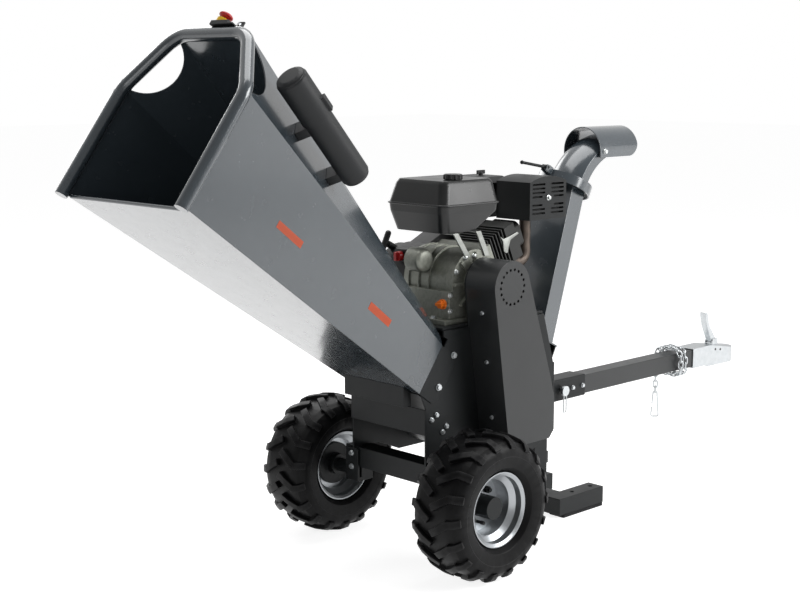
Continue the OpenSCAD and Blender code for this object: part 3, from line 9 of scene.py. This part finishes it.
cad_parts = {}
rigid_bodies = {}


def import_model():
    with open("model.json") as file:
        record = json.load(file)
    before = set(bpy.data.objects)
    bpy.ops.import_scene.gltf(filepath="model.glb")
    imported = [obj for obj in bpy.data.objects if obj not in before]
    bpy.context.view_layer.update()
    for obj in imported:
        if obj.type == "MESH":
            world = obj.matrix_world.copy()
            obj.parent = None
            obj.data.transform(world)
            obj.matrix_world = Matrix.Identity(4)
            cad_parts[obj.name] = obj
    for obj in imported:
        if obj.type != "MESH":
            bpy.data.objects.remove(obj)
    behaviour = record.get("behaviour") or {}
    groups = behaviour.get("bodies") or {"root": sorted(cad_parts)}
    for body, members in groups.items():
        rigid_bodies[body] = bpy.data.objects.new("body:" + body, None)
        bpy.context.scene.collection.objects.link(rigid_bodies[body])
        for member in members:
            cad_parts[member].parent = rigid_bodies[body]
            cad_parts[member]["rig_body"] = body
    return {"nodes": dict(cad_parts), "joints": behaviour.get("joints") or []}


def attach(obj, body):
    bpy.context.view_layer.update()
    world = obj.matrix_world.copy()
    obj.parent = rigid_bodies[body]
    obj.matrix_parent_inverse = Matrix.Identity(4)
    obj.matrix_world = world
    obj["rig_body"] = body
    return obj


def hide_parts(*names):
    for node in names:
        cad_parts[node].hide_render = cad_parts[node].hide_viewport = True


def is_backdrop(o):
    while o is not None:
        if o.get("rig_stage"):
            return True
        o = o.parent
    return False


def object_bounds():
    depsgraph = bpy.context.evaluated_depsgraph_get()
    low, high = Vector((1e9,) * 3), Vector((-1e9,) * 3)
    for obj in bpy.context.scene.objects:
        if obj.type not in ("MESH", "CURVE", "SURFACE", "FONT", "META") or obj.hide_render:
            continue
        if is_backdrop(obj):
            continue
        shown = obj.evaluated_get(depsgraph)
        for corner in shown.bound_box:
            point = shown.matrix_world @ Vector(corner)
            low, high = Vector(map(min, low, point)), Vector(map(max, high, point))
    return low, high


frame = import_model()
cad_low, cad_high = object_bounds()

# Camera
# The photograph is taken from the hopper's side at the height of its mouth, looking a little
# down through a short telephoto lens, so upright edges stay nearly upright.
camera_place = Vector((-3.12359, -2.84638, 1.35534))
camera_aim = Vector((0.6882, 0.7084, -0.1566))
sensor_mm, lens_mm = 36, 64.95
scene = bpy.context.scene
camera = bpy.data.objects.new("camera", bpy.data.cameras.new("camera"))
camera.data.sensor_width = sensor_mm
camera.data.lens = lens_mm
camera.location = camera_place
camera.rotation_mode = "QUATERNION"
camera.rotation_quaternion = camera_aim.to_track_quat("-Z", "Y")
scene.collection.objects.link(camera)
scene.camera = camera
scene.view_settings.view_transform = "Standard"

# Studio
# A pale floor without an edge, a white wall, and cloth softboxes: two to the right of the camera,
# high and low, one overhead, and weak ones behind and in front. Reflections see a grey room in
# place of the wall, brighter on the backdrop's side, so that the black coats stay black.
MM = 0.001
floor_half_width = 30
floor_gap = 0.5 * MM
room_level, wall_level, paper_level = 0.25, 1.0, 0.86
dim_side_level, backdrop_level = 0.4, 0.8
backdrop_way = Vector((0.7, 0.7, 0.1)).normalized()


def tone(code):
    parts = [int(code[i:i + 2], 16) / 255 for i in (1, 3, 5)]
    return [p / 12.92 if p <= 0.04045 else ((p + 0.055) / 1.055) ** 2.4 for p in parts] + [1]


def add(tree, kind, settings=None, sockets=None):
    node = tree.nodes.new("ShaderNode" + kind)
    for name, value in (settings or {}).items():
        setattr(node, name, value)
    for name, value in (sockets or {}).items():
        if isinstance(value, bpy.types.NodeSocket):
            tree.links.new(value, node.inputs[name])
        else:
            node.inputs[name].default_value = value
    return node


white = tone("#FFFFFF")
surround = bpy.data.worlds.new("white surround")
surround.use_nodes = True
tree = surround.node_tree
tree.nodes.clear()
room_light = add(tree, "Background", None, {"Color": white, "Strength": room_level})
heading = add(tree, "VectorMath", {"operation": "DOT_PRODUCT"},
              {0: add(tree, "TexCoord").outputs["Generated"], 1: backdrop_way})
backdrop = add(tree, "MapRange", None,
               {"Value": heading.outputs["Value"], "From Min": -0.3, "From Max": 0.4,
                "To Min": dim_side_level, "To Max": backdrop_level})
grey_room = add(tree, "Background", None, {"Color": white, "Strength": backdrop.outputs[0]})
white_wall = add(tree, "Background", None, {"Color": white, "Strength": wall_level})
rays = add(tree, "LightPath").outputs
reflected = add(tree, "MixShader", None,
                {0: rays["Is Glossy Ray"], 1: room_light.outputs[0], 2: grey_room.outputs[0]})
wall = add(tree, "MixShader", None,
           {0: rays["Is Camera Ray"], 1: reflected.outputs[0], 2: white_wall.outputs[0]})
add(tree, "OutputWorld", None, {"Surface": wall.outputs[0]})
scene.world = surround

# matt paper, lit from below where it is looked at, so that only a soft shadow shows on it
paper = bpy.data.materials.new("studio paper")
paper.use_nodes = True
tree = paper.node_tree
tree.nodes.clear()
matt_paper = add(tree, "BsdfDiffuse", None, {"Color": tone("#E4E4E4")})
shaded_paper = add(tree, "BsdfDiffuse", None, {"Color": tone("#BCBCBC")})
paper_glow = add(tree, "Emission", None, {"Color": white, "Strength": paper_level})
bright_paper = add(tree, "AddShader", None, {0: shaded_paper.outputs[0], 1: paper_glow.outputs[0]})
rays = add(tree, "LightPath").outputs
mirrored = add(tree, "Math", {"operation": "MAXIMUM"},
               {0: rays["Is Glossy Ray"], 1: rays["Is Transmission Ray"]})
looked_at = add(tree, "Math", {"operation": "MAXIMUM"},
                {0: rays["Is Camera Ray"], 1: mirrored.outputs[0]})
sheet = add(tree, "MixShader", None,
            {0: looked_at.outputs[0], 1: matt_paper.outputs[0], 2: bright_paper.outputs[0]})
add(tree, "OutputMaterial", None, {"Surface": sheet.outputs[0]})

shape = bmesh.new()
bmesh.ops.create_grid(shape, x_segments=2, y_segments=2, size=floor_half_width)
floor_mesh = bpy.data.meshes.new("floor")
shape.to_mesh(floor_mesh)
shape.free()
floor_mesh.materials.append(paper)
floor = bpy.data.objects.new("floor", floor_mesh)
floor.location.z = cad_low.z - floor_gap
scene.collection.objects.link(floor)
floor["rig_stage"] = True

# places and sizes in metres, power in watts
for name, place, aim, width, height, power in (
        ("right softbox", (2.25, -3.7, 2.7), (0.0, 0.0, 0.7), 2.8, 2.4, 185),
        ("low softbox", (4.5, -3.6, 1.0), (0.3, 0.0, 0.8), 3.2, 1.8, 18),
        ("overhead softbox", (0.2, 0.4, 4.0), (0.0, 0.0, 0.5), 3.2, 2.6, 90),
        ("back softbox", (0.6, 3.6, 2.0), (0.0, 0.0, 0.6), 2.4, 2.0, 45),
        ("front softbox", (-4.2, -1.6, 1.5), (-0.9, 0.0, 1.1), 1.6, 1.6, 12)):
    lamp = bpy.data.objects.new(name, bpy.data.lights.new(name, "AREA"))
    lamp.data.shape = "RECTANGLE"
    lamp.data.size = width
    lamp.data.size_y = height
    lamp.data.energy = power
    lamp.location = place
    lamp.rotation_mode = "QUATERNION"
    lamp.rotation_quaternion = (Vector(aim) - Vector(place)).to_track_quat("-Z", "Y")
    scene.collection.objects.link(lamp)

# Side plates, axle and deck
# Laser-cut steel plate and square tube, welded and bolted into a box round the drum, and powder
# coated satin black, which leaves a fine orange peel and eases every edge.
weld_gap, grain_height = 0.004 * MM, 0.3 * MM
flat_degrees, corner_degrees, crease_degrees = 0.6, 30, 32
lean_to_flats = 90


def begin(name):
    made = bpy.data.materials.new(name)
    made.use_nodes = True
    tree = made.node_tree
    return made, tree, tree.nodes["Principled BSDF"], add(tree, "TexCoord").outputs["Object"]


def per_mm(size):
    return 1 / (size * MM)


def surface(name, colours, clouds, wear, roughness, grain, relief):
    # clouds, wear and grain are each a size in millimetres and a level of detail: the colour
    # drifts with the clouds, the roughness with the wear, and the grain stands up from the skin
    made, tree, shader, place = begin(name)
    drift, rub, bumps = [
        add(tree, "TexNoise", None, {"Vector": place, "Scale": per_mm(size), "Detail": detail}).outputs[0]
        for size, detail in (clouds, wear, grain)]
    shade = add(tree, "MapRange", None, {"Value": drift, "From Min": 0.3, "From Max": 0.7})
    mixed = add(tree, "Mix", {"data_type": "RGBA"},
                {0: shade.outputs[0], 6: tone(colours[0]), 7: tone(colours[1])})
    rough = add(tree, "MapRange", None,
                {"Value": rub, "From Min": 0.3, "From Max": 0.7,
                 "To Min": roughness[0], "To Max": roughness[1]})
    raised = add(tree, "Bump", None, {"Strength": relief, "Distance": grain_height, "Height": bumps})
    tree.links.new(mixed.outputs[2], shader.inputs["Base Color"])
    tree.links.new(rough.outputs[0], shader.inputs["Roughness"])
    tree.links.new(raised.outputs[0], shader.inputs["Normal"])
    return made, shader.inputs


def powder_coat(name, base, cloud, rough, shine=0.5, flake=0.0, lacquer=0.0, peel=0.05):
    # orange peel is about 2 mm across on a sprayed coat, drawn at 6 mm so that it shows
    made, sockets = surface(name, (base, cloud), clouds=(160, 3), wear=(35, 5),
                            roughness=(rough - 0.02, rough + 0.04), grain=(6, 2), relief=peel)
    sockets["Metallic"].default_value = flake
    sockets["Specular IOR Level"].default_value = shine
    sockets["Coat Weight"].default_value = lacquer
    sockets["Coat Roughness"].default_value = 0.14
    return made


def ease_edges(shape, width):
    edges = [e for e in shape.edges if e.calc_face_angle(0) > math.radians(corner_degrees)]
    bmesh.ops.bevel(shape, geom=edges, offset=width * MM, offset_type="OFFSET", affect="EDGES",
                    segments=2, profile=0.5, material=-1)


def finished(shape, name, finish, body, crease=crease_degrees):
    # edges that turn by more than the crease stay sharp
    mesh = bpy.data.meshes.new(name)
    shape.to_mesh(mesh)
    shape.free()
    mesh.materials.append(finish)
    mesh.shade_smooth()
    mesh.set_sharp_from_angle(angle=math.radians(crease))
    piece = bpy.data.objects.new(name, mesh)
    scene.collection.objects.link(piece)
    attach(piece, body)
    return piece


def eased(node, width, finish):
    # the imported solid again, with its corners rounded over a width in millimetres
    packed = frame["nodes"][node]
    shape = bmesh.new()
    shape.from_mesh(packed.data)
    bmesh.ops.remove_doubles(shape, verts=shape.verts, dist=weld_gap)
    bmesh.ops.dissolve_limit(shape, angle_limit=math.radians(flat_degrees), verts=shape.verts,
                             edges=shape.edges)
    ease_edges(shape, width)
    piece = finished(shape, node + "_eased", finish, packed["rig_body"])
    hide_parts(node)
    flats = piece.modifiers.new("flat faces stay flat", "WEIGHTED_NORMAL")
    flats.keep_sharp = True
    flats.weight = lean_to_flats
    return piece


# satin coat: broad, weak highlights that are cloudy close to
satin_black = powder_coat("satin black powder coat", "#1B1D1E", "#202223", rough=0.38, shine=0.2)
for node, width in (("side_plate_near", 1.2), ("side_plate_far", 1.2), ("axle_beam", 2),
                    ("stub_axles", 1.2), ("front_cover", 0.8), ("drum_housing", 0.8),
                    ("engine_deck", 1.2)):
    eased(node, width, satin_black)


# Wheels
# Air-filled tyres moulded in black rubber with chevron lugs, on pressed steel rims that are
# sprayed silver. Nuts hold each rim on a black coated hub, which runs on the stub axle.
def rubber(name, base, dust, rough):
    # moulded rubber has a grain under 1 mm, drawn at 4 mm so that it shows
    scuff_mm, grain_mm = 45, 4
    # the paler grey is a painted highlight, laid on the lug edges and other sharp corners
    edge_highlight_grey = tone("#3A3A3B")
    made, tree, shader, place = begin(name)
    scuff = add(tree, "TexNoise", None, {"Vector": place, "Scale": per_mm(scuff_mm), "Detail": 6})
    shade = add(tree, "MapRange", None,
                {"Value": scuff.outputs[0], "From Min": 0.42, "From Max": 0.72})
    dusty = add(tree, "Mix", {"data_type": "RGBA"},
                {0: shade.outputs[0], 6: tone(base), 7: tone(dust)})
    edge = add(tree, "MapRange", None,
               {"Value": add(tree, "NewGeometry").outputs["Pointiness"],
                "From Min": 0.52, "From Max": 0.6, "To Max": 0.8})
    mixed = add(tree, "Mix", {"data_type": "RGBA"},
                {0: edge.outputs[0], 6: dusty.outputs[2], 7: edge_highlight_grey})
    tree.links.new(mixed.outputs[2], shader.inputs["Base Color"])
    grain = add(tree, "TexNoise", None, {"Vector": place, "Scale": per_mm(grain_mm), "Detail": 3})
    raised = add(tree, "Bump", None,
                 {"Strength": 0.25, "Distance": 0.5 * MM, "Height": grain.outputs[0]})
    tree.links.new(raised.outputs[0], shader.inputs["Normal"])
    shader.inputs["Roughness"].default_value = rough
    shader.inputs["Specular IOR Level"].default_value = 0.14
    return made


# new rubber: nearly black, a dull sheen, and a painted highlight in paler grey on the lug edges
tyre_rubber = rubber("tyre rubber", "#040405", "#0A0A0B", rough=0.42)
# silver paint: bright and soft, with a thin lacquer over its flake
rim_paint = powder_coat("silver rim paint", "#9A9EA1", "#AAADB0", rough=0.3, flake=0.85, lacquer=0.3)
for side in ("near", "far"):
    eased("tyre_" + side, 1.2, tyre_rubber)
    eased("rim_" + side, 0.8, rim_paint)
    eased("hub_" + side, 1.0, satin_black)

# Tyre beads and valves
# A ring moulded on each sidewall, part of the tyre, and a black rubber valve stem with its cap,
# pulled through the rim's dish.
axle_of = {joint["child"]: Vector(joint["pos_m"])
           for joint in frame["joints"] if joint["type"] == "hinge"}
ring_at, ring_r, sidewall_y = 148, 1.6, 86.6
valve_drop, valve_r, valve_len, dish_y = 49, 4.5, 24, 13
cap_r, cap_len, cap_proud = 5.7, 10, 1
stem_taper = 0.85
all_smooth_degrees = 180


def turned(shape, radius, end_radius, start, length, segments):
    # a round or six-sided bar that stands on end, its foot at the height of start
    made = bmesh.ops.create_cone(shape, cap_ends=True, segments=segments, radius1=radius * MM,
                                 radius2=end_radius * MM, depth=length * MM)
    bmesh.ops.translate(shape, vec=(0, 0, (start + length / 2) * MM), verts=made["verts"])
    return made["verts"]


for side in ("near", "far"):
    wheel = "wheel_" + side
    axle = axle_of[wheel]
    outward = math.copysign(1, axle.y)
    for way, end in ((outward, "_out"), (-outward, "_in")):
        shape = bmesh.new()
        outline = bmesh.ops.create_circle(shape, segments=10, radius=ring_r * MM)["verts"]
        # a flat of the ring's outline faces sideways, not a corner
        bmesh.ops.rotate(shape, cent=(0, 0, 0), matrix=Matrix.Rotation(math.pi / 2, 3, "Z"),
                         verts=outline)
        bmesh.ops.translate(shape, vec=(ring_at * MM, 0, 0), verts=outline)
        bmesh.ops.spin(shape, geom=shape.verts[:] + shape.edges[:], cent=(0, 0, 0), axis=(0, 1, 0),
                       angle=2 * math.pi, steps=96, use_merge=True)
        bmesh.ops.translate(shape, vec=axle + Vector((0, way * sidewall_y * MM, 0)), verts=shape.verts)
        bmesh.ops.recalc_face_normals(shape, faces=shape.faces)
        finished(shape, "sidewall_ring_" + side + end, tyre_rubber, wheel,
                 crease=all_smooth_degrees)
    shape = bmesh.new()
    for radius, start, length in ((valve_r, 0, valve_len),
                                  (cap_r, valve_len + cap_proud - cap_len, cap_len)):
        turned(shape, radius, radius * stem_taper, start, length, segments=20)
    bmesh.ops.rotate(shape, cent=(0, 0, 0), matrix=Matrix.Rotation(-outward * math.pi / 2, 3, "X"),
                     verts=shape.verts)
    bmesh.ops.translate(shape, vec=axle - Vector((0, outward * dish_y, valve_drop)) * MM,
                        verts=shape.verts)
    finished(shape, "valve_" + side, tyre_rubber, wheel)


# Drum, knives and bearings
# A heavy cast drum on its shaft, in cast flange bearings. Its two bolted knives and the bed knife
# are ground tool steel, and cast pulleys and the engine's ground crankshaft drive it.
def metal(name, base, cloud, rough, spread, cloud_mm, metallic):
    # the grit of a casting or of plating is under 1 mm, drawn at 2.5 mm so that it shows
    made, sockets = surface(name, (base, cloud), clouds=(cloud_mm, 6), wear=(cloud_mm, 6),
                            roughness=(rough, rough + spread), grain=(2.5, 3), relief=0.2)
    sockets["Metallic"].default_value = metallic
    return made


# oiled cast iron: dark grey, dull, with a mottled shine
cast_iron = metal("cast iron", "#4A4B4A", "#5A5A58", rough=0.5, spread=0.2, cloud_mm=12, metallic=0.6)
# ground steel: pale and mirror-like in patches
ground_steel = metal("ground tool steel", "#A9ABAC", "#BFC1C2", rough=0.25, spread=0.15, cloud_mm=30,
                     metallic=1.0)
for node in ("rotor_drum", "rotor_bearings", "drive_pulley", "driven_pulley"):
    eased(node, 0.6, cast_iron)
for node in ("rotor_knives", "bed_knife", "crankshaft"):
    eased(node, 0.6, ground_steel)

# Hopper
# A funnel of folded 3 mm sheet with a bent tube hoop round its mouth, powder coated glossy slate
# grey with a little metallic flake, and black flange plates that bolt it on at its throat.

# glossy coat: a smooth lacquer that mirrors the floor and the softboxes
slate_grey = powder_coat("slate grey powder coat", "#353D43", "#3B4349", rough=0.24, flake=0.1,
                         lacquer=1.0, peel=0.002)
eased("hopper_funnel", 1.0, slate_grey)
eased("hopper_hoop", 0.5, slate_grey)
eased("hopper_flanges", 1.0, satin_black)

# Hopper stripes
# Two plain bars of orange vinyl film, stuck on the hopper's near wall. They run along the wall
# from the mouth towards the throat, and one is a little taller than the other.

# the lip is the lower edge of the mouth, at the middle of the machine
lip = Vector((-1250.117, 0, 1053.25)) * MM
mouth_tilt = math.radians(36)
hopper_len, wall_run_in = 990, 96
bar_len, film_gap, film_t = 101, 0.03, 0.3


def lowest(node, axis):
    return min(vertex.co["xyz".index(axis)] for vertex in frame["nodes"][node].data.vertices)


def film(name, base, rough):
    fade_mm = 30
    made, tree, shader, place = begin(name)
    fade = add(tree, "TexNoise", None, {"Vector": place, "Scale": per_mm(fade_mm), "Detail": 4})
    shade = add(tree, "MapRange", None, {"Value": fade.outputs[0], "To Min": 0.92, "To Max": 1.06})
    mixed = add(tree, "HueSaturation", None, {"Color": tone(base), "Value": shade.outputs[0]})
    tree.links.new(mixed.outputs[0], shader.inputs["Base Color"])
    shader.inputs["Roughness"].default_value = rough
    return made


def thicken(shape, step):
    # a flat outline becomes a plate
    lifted = bmesh.ops.extrude_face_region(shape, geom=shape.faces[:])
    moved = [v for v in lifted["geom"] if isinstance(v, bmesh.types.BMVert)]
    bmesh.ops.translate(shape, vec=step, verts=moved)
    bmesh.ops.recalc_face_normals(shape, faces=shape.faces)


uphill = Vector((math.sin(mouth_tilt), 0, math.cos(mouth_tilt)))
down_wall = Vector((hopper_len * math.cos(mouth_tilt), wall_run_in, -hopper_len * math.sin(mouth_tilt)))
down_wall.normalize()
wall_out = down_wall.cross(uphill).normalized()
wall_frame = Matrix((down_wall, uphill, wall_out)).transposed().to_4x4()
wall_frame.translation = lip + Vector((0, lowest("hopper_funnel", "y"), 0))
# vinyl: a flat, even orange, a little faded in places
vinyl = film("orange vinyl film", "#B4420F", rough=0.5)
for name, middle, low, tall in (("upper", 304, 110, 19), ("lower", 712, 112, 21)):
    shape = bmesh.new()
    bmesh.ops.create_grid(shape, x_segments=1, y_segments=1, size=0.5)
    bmesh.ops.scale(shape, vec=(bar_len * MM, tall * MM, 1), verts=shape.verts)
    bmesh.ops.translate(shape, vec=Vector((middle, low + tall / 2, film_gap)) * MM, verts=shape.verts)
    thicken(shape, (0, 0, film_t * MM))
    bmesh.ops.transform(shape, matrix=wall_frame, verts=shape.verts)
    finished(shape, "stripe_" + name, vinyl, "chassis")

# Discharge chute
# A welded duct with a turning elbow, clamped on its collar by a cam lever, and a tilting hood
# on two plated pivot bolts. The sheet has the hopper's coat, and the lever is black.
hood_side = 73.4


def repaint(piece, finish, chosen):
    # faces whose middle is chosen get a second finish
    piece.data.materials.append(finish)
    for face in piece.data.polygons:
        if chosen(face.center):
            face.material_index = 1


# bright plating: pale silver with small clear highlights
plated_bolt = metal("plated bolt", "#C4C7C6", "#D0D3D2", rough=0.28, spread=0.06, cloud_mm=8,
                    metallic=0.9)
eased("discharge_chute", 1.2, slate_grey)
eased("chute_elbow", 0.8, slate_grey)
hood = eased("chute_hood", 0.8, slate_grey)
repaint(hood, plated_bolt, lambda spot: abs(spot.y) > hood_side * MM)
eased("clamp_lever", 0.6, satin_black)

# Engine
# A single-cylinder petrol engine: die-cast aluminium crankcase, cover and starter, a black finned
# cylinder, a blow-moulded tank on plated brackets, moulded air cleaner and blower, and a
# heat-browned exhaust, sooty inside its slotted guard.
guard_low = lowest("muffler_guard", "z")


def moulded(name, base, cloud, rough, grain_mm=3, shine=0.35):
    # a mould's grain is about 0.5 mm, drawn at 3 or 4 mm so that it shows
    made, sockets = surface(name, (base, cloud), clouds=(70, 4), wear=(70, 4),
                            roughness=(rough - 0.03, rough + 0.05), grain=(grain_mm, 2), relief=0.1)
    sockets["Specular IOR Level"].default_value = shine
    return made


# as cast: a warm dull grey, mottled
cast_aluminium = metal("die-cast aluminium", "#7C7E76", "#909289", rough=0.38, spread=0.12, cloud_mm=9,
                       metallic=0.6)
# baked black: its fins show only by their edges
fin_black = metal("heat-proof black", "#1E1F1E", "#2A2B29", rough=0.45, spread=0.15, cloud_mm=9,
                  metallic=0.3)
# pressed and plated: a grey sheen without clear reflections
bright_steel = metal("bright plated steel", "#8E908C", "#A2A4A0", rough=0.38, spread=0.12, cloud_mm=14,
                     metallic=0.8)
# heated bare steel: brown and blotched
browned_steel = metal("heat-browned steel", "#4A423C", "#6A6058", rough=0.4, spread=0.2, cloud_mm=25,
                      metallic=0.8)
# soot: flat black without highlights
soot = metal("sooty black", "#0B0B0B", "#131312", rough=0.7, spread=0.15, cloud_mm=9, metallic=0.0)
# satin tank: broad highlights along its shoulders
tank_black = moulded("satin black tank", "#131414", "#191A1A", rough=0.3, shine=0.42)
# textured plastic: black with a soft sheen
shell_black = moulded("moulded black plastic", "#0C0D0E", "#121314", rough=0.42)
# dyed plastics: strong, even colour with a soft shine
red_plastic = moulded("red plastic", "#B01E22", "#B82628", rough=0.3)
orange_plastic = moulded("orange plastic", "#E8701A", "#EE7C24", rough=0.35)
for node, width, finish in (
        ("crankcase", 1.2, cast_aluminium), ("crankcase_cover", 1.0, cast_aluminium),
        ("cylinder_block", 0.6, fin_black), ("carburettor", 1.2, cast_aluminium),
        ("starter_motor", 0.6, cast_aluminium), ("tank_brackets", 0.6, bright_steel),
        ("blower_housing", 1.5, shell_black), ("air_cleaner", 1.5, shell_black),
        ("fuel_tank", 1.5, tank_black), ("fuel_cap", 0.8, tank_black),
        ("muffler_guard", 0.4, satin_black), ("throttle_lever", 0.5, satin_black),
        ("choke_lever", 0.5, satin_black), ("recoil_handle", 0.8, shell_black),
        ("ignition_key", 0.6, red_plastic), ("dipstick", 0.8, orange_plastic)):
    eased(node, width, finish)
muffler = eased("muffler", 1.0, browned_steel)
repaint(muffler, soot, lambda spot: spot.z > guard_low)

# Engine hardware
# Plated flange bolts round the side cover and on the muffler guard, and a pressed and plated
# steel ear, screwed to the side of the finned cylinder.
hex_r, flange_r, flange_t, head_t = 5.8, 8, 1.6, 6
cover_face, guard_face = -117, -130.2
bolt_places = ((-220.5, cover_face, 843.2), (-184.7, cover_face, 846), (-256, cover_face, 806),
               (-280.4, cover_face, 743.1), (-280.4, cover_face, 700), (118.8, guard_face, 991))
bolt_ease, ear_ease = 0.5, 0.6
ear_near, ear_t = -87, 2.6
ear_outline = ((-39.3, 885.3), (-27.1, 877.4), (-3, 882), (33.4, 893.5), (40.5, 888.8), (4.1, 873),
               (-4.2, 850), (-6.4, 837.4), (-11.5, 834.5), (-16.8, 836.7), (-23.8, 842.4), (-28.7, 870.6))

shape = bmesh.new()
for place in bolt_places:
    bolt = turned(shape, flange_r, flange_r, 0, flange_t, segments=24)
    bolt += turned(shape, hex_r, hex_r, flange_t, head_t, segments=6)
    bmesh.ops.rotate(shape, cent=(0, 0, 0), matrix=Matrix.Rotation(math.pi / 2, 3, "X"), verts=bolt)
    bmesh.ops.translate(shape, vec=Vector(place) * MM, verts=bolt)
ease_edges(shape, bolt_ease)
finished(shape, "engine_bolts", plated_bolt, "chassis")

shape = bmesh.new()
shape.faces.new([shape.verts.new(Vector((x, ear_near, z)) * MM) for x, z in ear_outline])
thicken(shape, (0, ear_t * MM, 0))
ease_edges(shape, ear_ease)
finished(shape, "cylinder_ear", bright_steel, "chassis")

# Belt drive
# Two rubber V-belts run over the pulleys, behind a guard of folded sheet with a ring of vents,
# fixed on the near side plate and coated a glossier black than the plate.

# belt rubber: dark grey and dry
belt_rubber = rubber("belt rubber", "#1A1A1B", "#222223", rough=0.6)
# semi-gloss coat: the same black with clearer highlights
guard_black = powder_coat("semi-gloss black powder coat", "#1D1F20", "#222425", rough=0.36)
eased("drive_belts", 0.5, belt_rubber)
eased("belt_guard", 0.6, guard_black)

# Stop switch and manual canister
# A red mushroom button in a yellow collar, on a black bracket over the hoop's top bar, and a
# moulded tube with a push-on cap for the papers, on two saddles on the hopper's sloping panel.
collar_from, collar_side = 498.5, -50
# dyed plastic: a clear warning yellow
yellow_plastic = moulded("yellow plastic", "#E2B21C", "#E8BC2A", rough=0.35)
# coarse mould grain: a dark grey that scatters every highlight
canister_grey = moulded("matt grey plastic", "#141618", "#191B1D", rough=0.5, grain_mm=4)
bracket = eased("estop_bracket", 0.8, satin_black)
repaint(bracket, yellow_plastic,
        lambda spot: (spot - lip).dot(uphill) > collar_from * MM and spot.y > collar_side * MM)
eased("estop_button", 0.8, red_plastic)
eased("manual_tube", 1.0, canister_grey)
eased("manual_cap", 1.0, canister_grey)

# Drawbar, foot and coupler
# A square tube tow bar, pinned in the rear post, and a parking foot on rubber pads, all of welded
# steel coated black. The pressed ball coupler, its lever, the pin, the welded chain and the
# machine's bolts are zinc plated.

# pad rubber: grey-black and dusty
pad_rubber = rubber("pad rubber", "#1B1B1C", "#252526", rough=0.7)
# zinc: a bright bluish silver with soft reflections
zinc = metal("zinc plate", "#BDC1C3", "#C9CCCE", rough=0.3, spread=0.06, cloud_mm=14, metallic=1.0)
for node, width, finish in (("tow_bar", 3, guard_black), ("rear_post", 2, satin_black),
                            ("parking_foot", 2.5, satin_black), ("foot_pads", 1, pad_rubber),
                            ("coupler_body", 1.2, zinc), ("coupler_lever", 1, zinc),
                            ("hitch_pin", 0.4, zinc), ("safety_chain", 0.3, zinc),
                            ("chain_end", 0.3, zinc), ("bolts", 0.5, zinc)):
    eased(node, width, finish)

# Coupler rivets
# Two domed rivets in the near cheek of the coupler, which hold its inner jaw. They are plain
# iron, set after the plating, so they stay dark against the zinc.
rivet_r, rivet_proud = 4.5, 1.8
rivet_places = ((1158, -35.3, 387.3), (1187.8, -36, 383.4))
shape = bmesh.new()
for place in rivet_places:
    dome = bmesh.ops.create_uvsphere(shape, u_segments=20, v_segments=10, radius=rivet_r * MM)["verts"]
    bmesh.ops.scale(shape, vec=(1, rivet_proud / rivet_r, 1), verts=dome)
    bmesh.ops.translate(shape, vec=Vector(place) * MM, verts=dome)
finished(shape, "coupler_rivets", cast_iron, "chassis", crease=all_smooth_degrees)

# Sizes
# The imported box and the dressed box, in metres.
low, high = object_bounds()
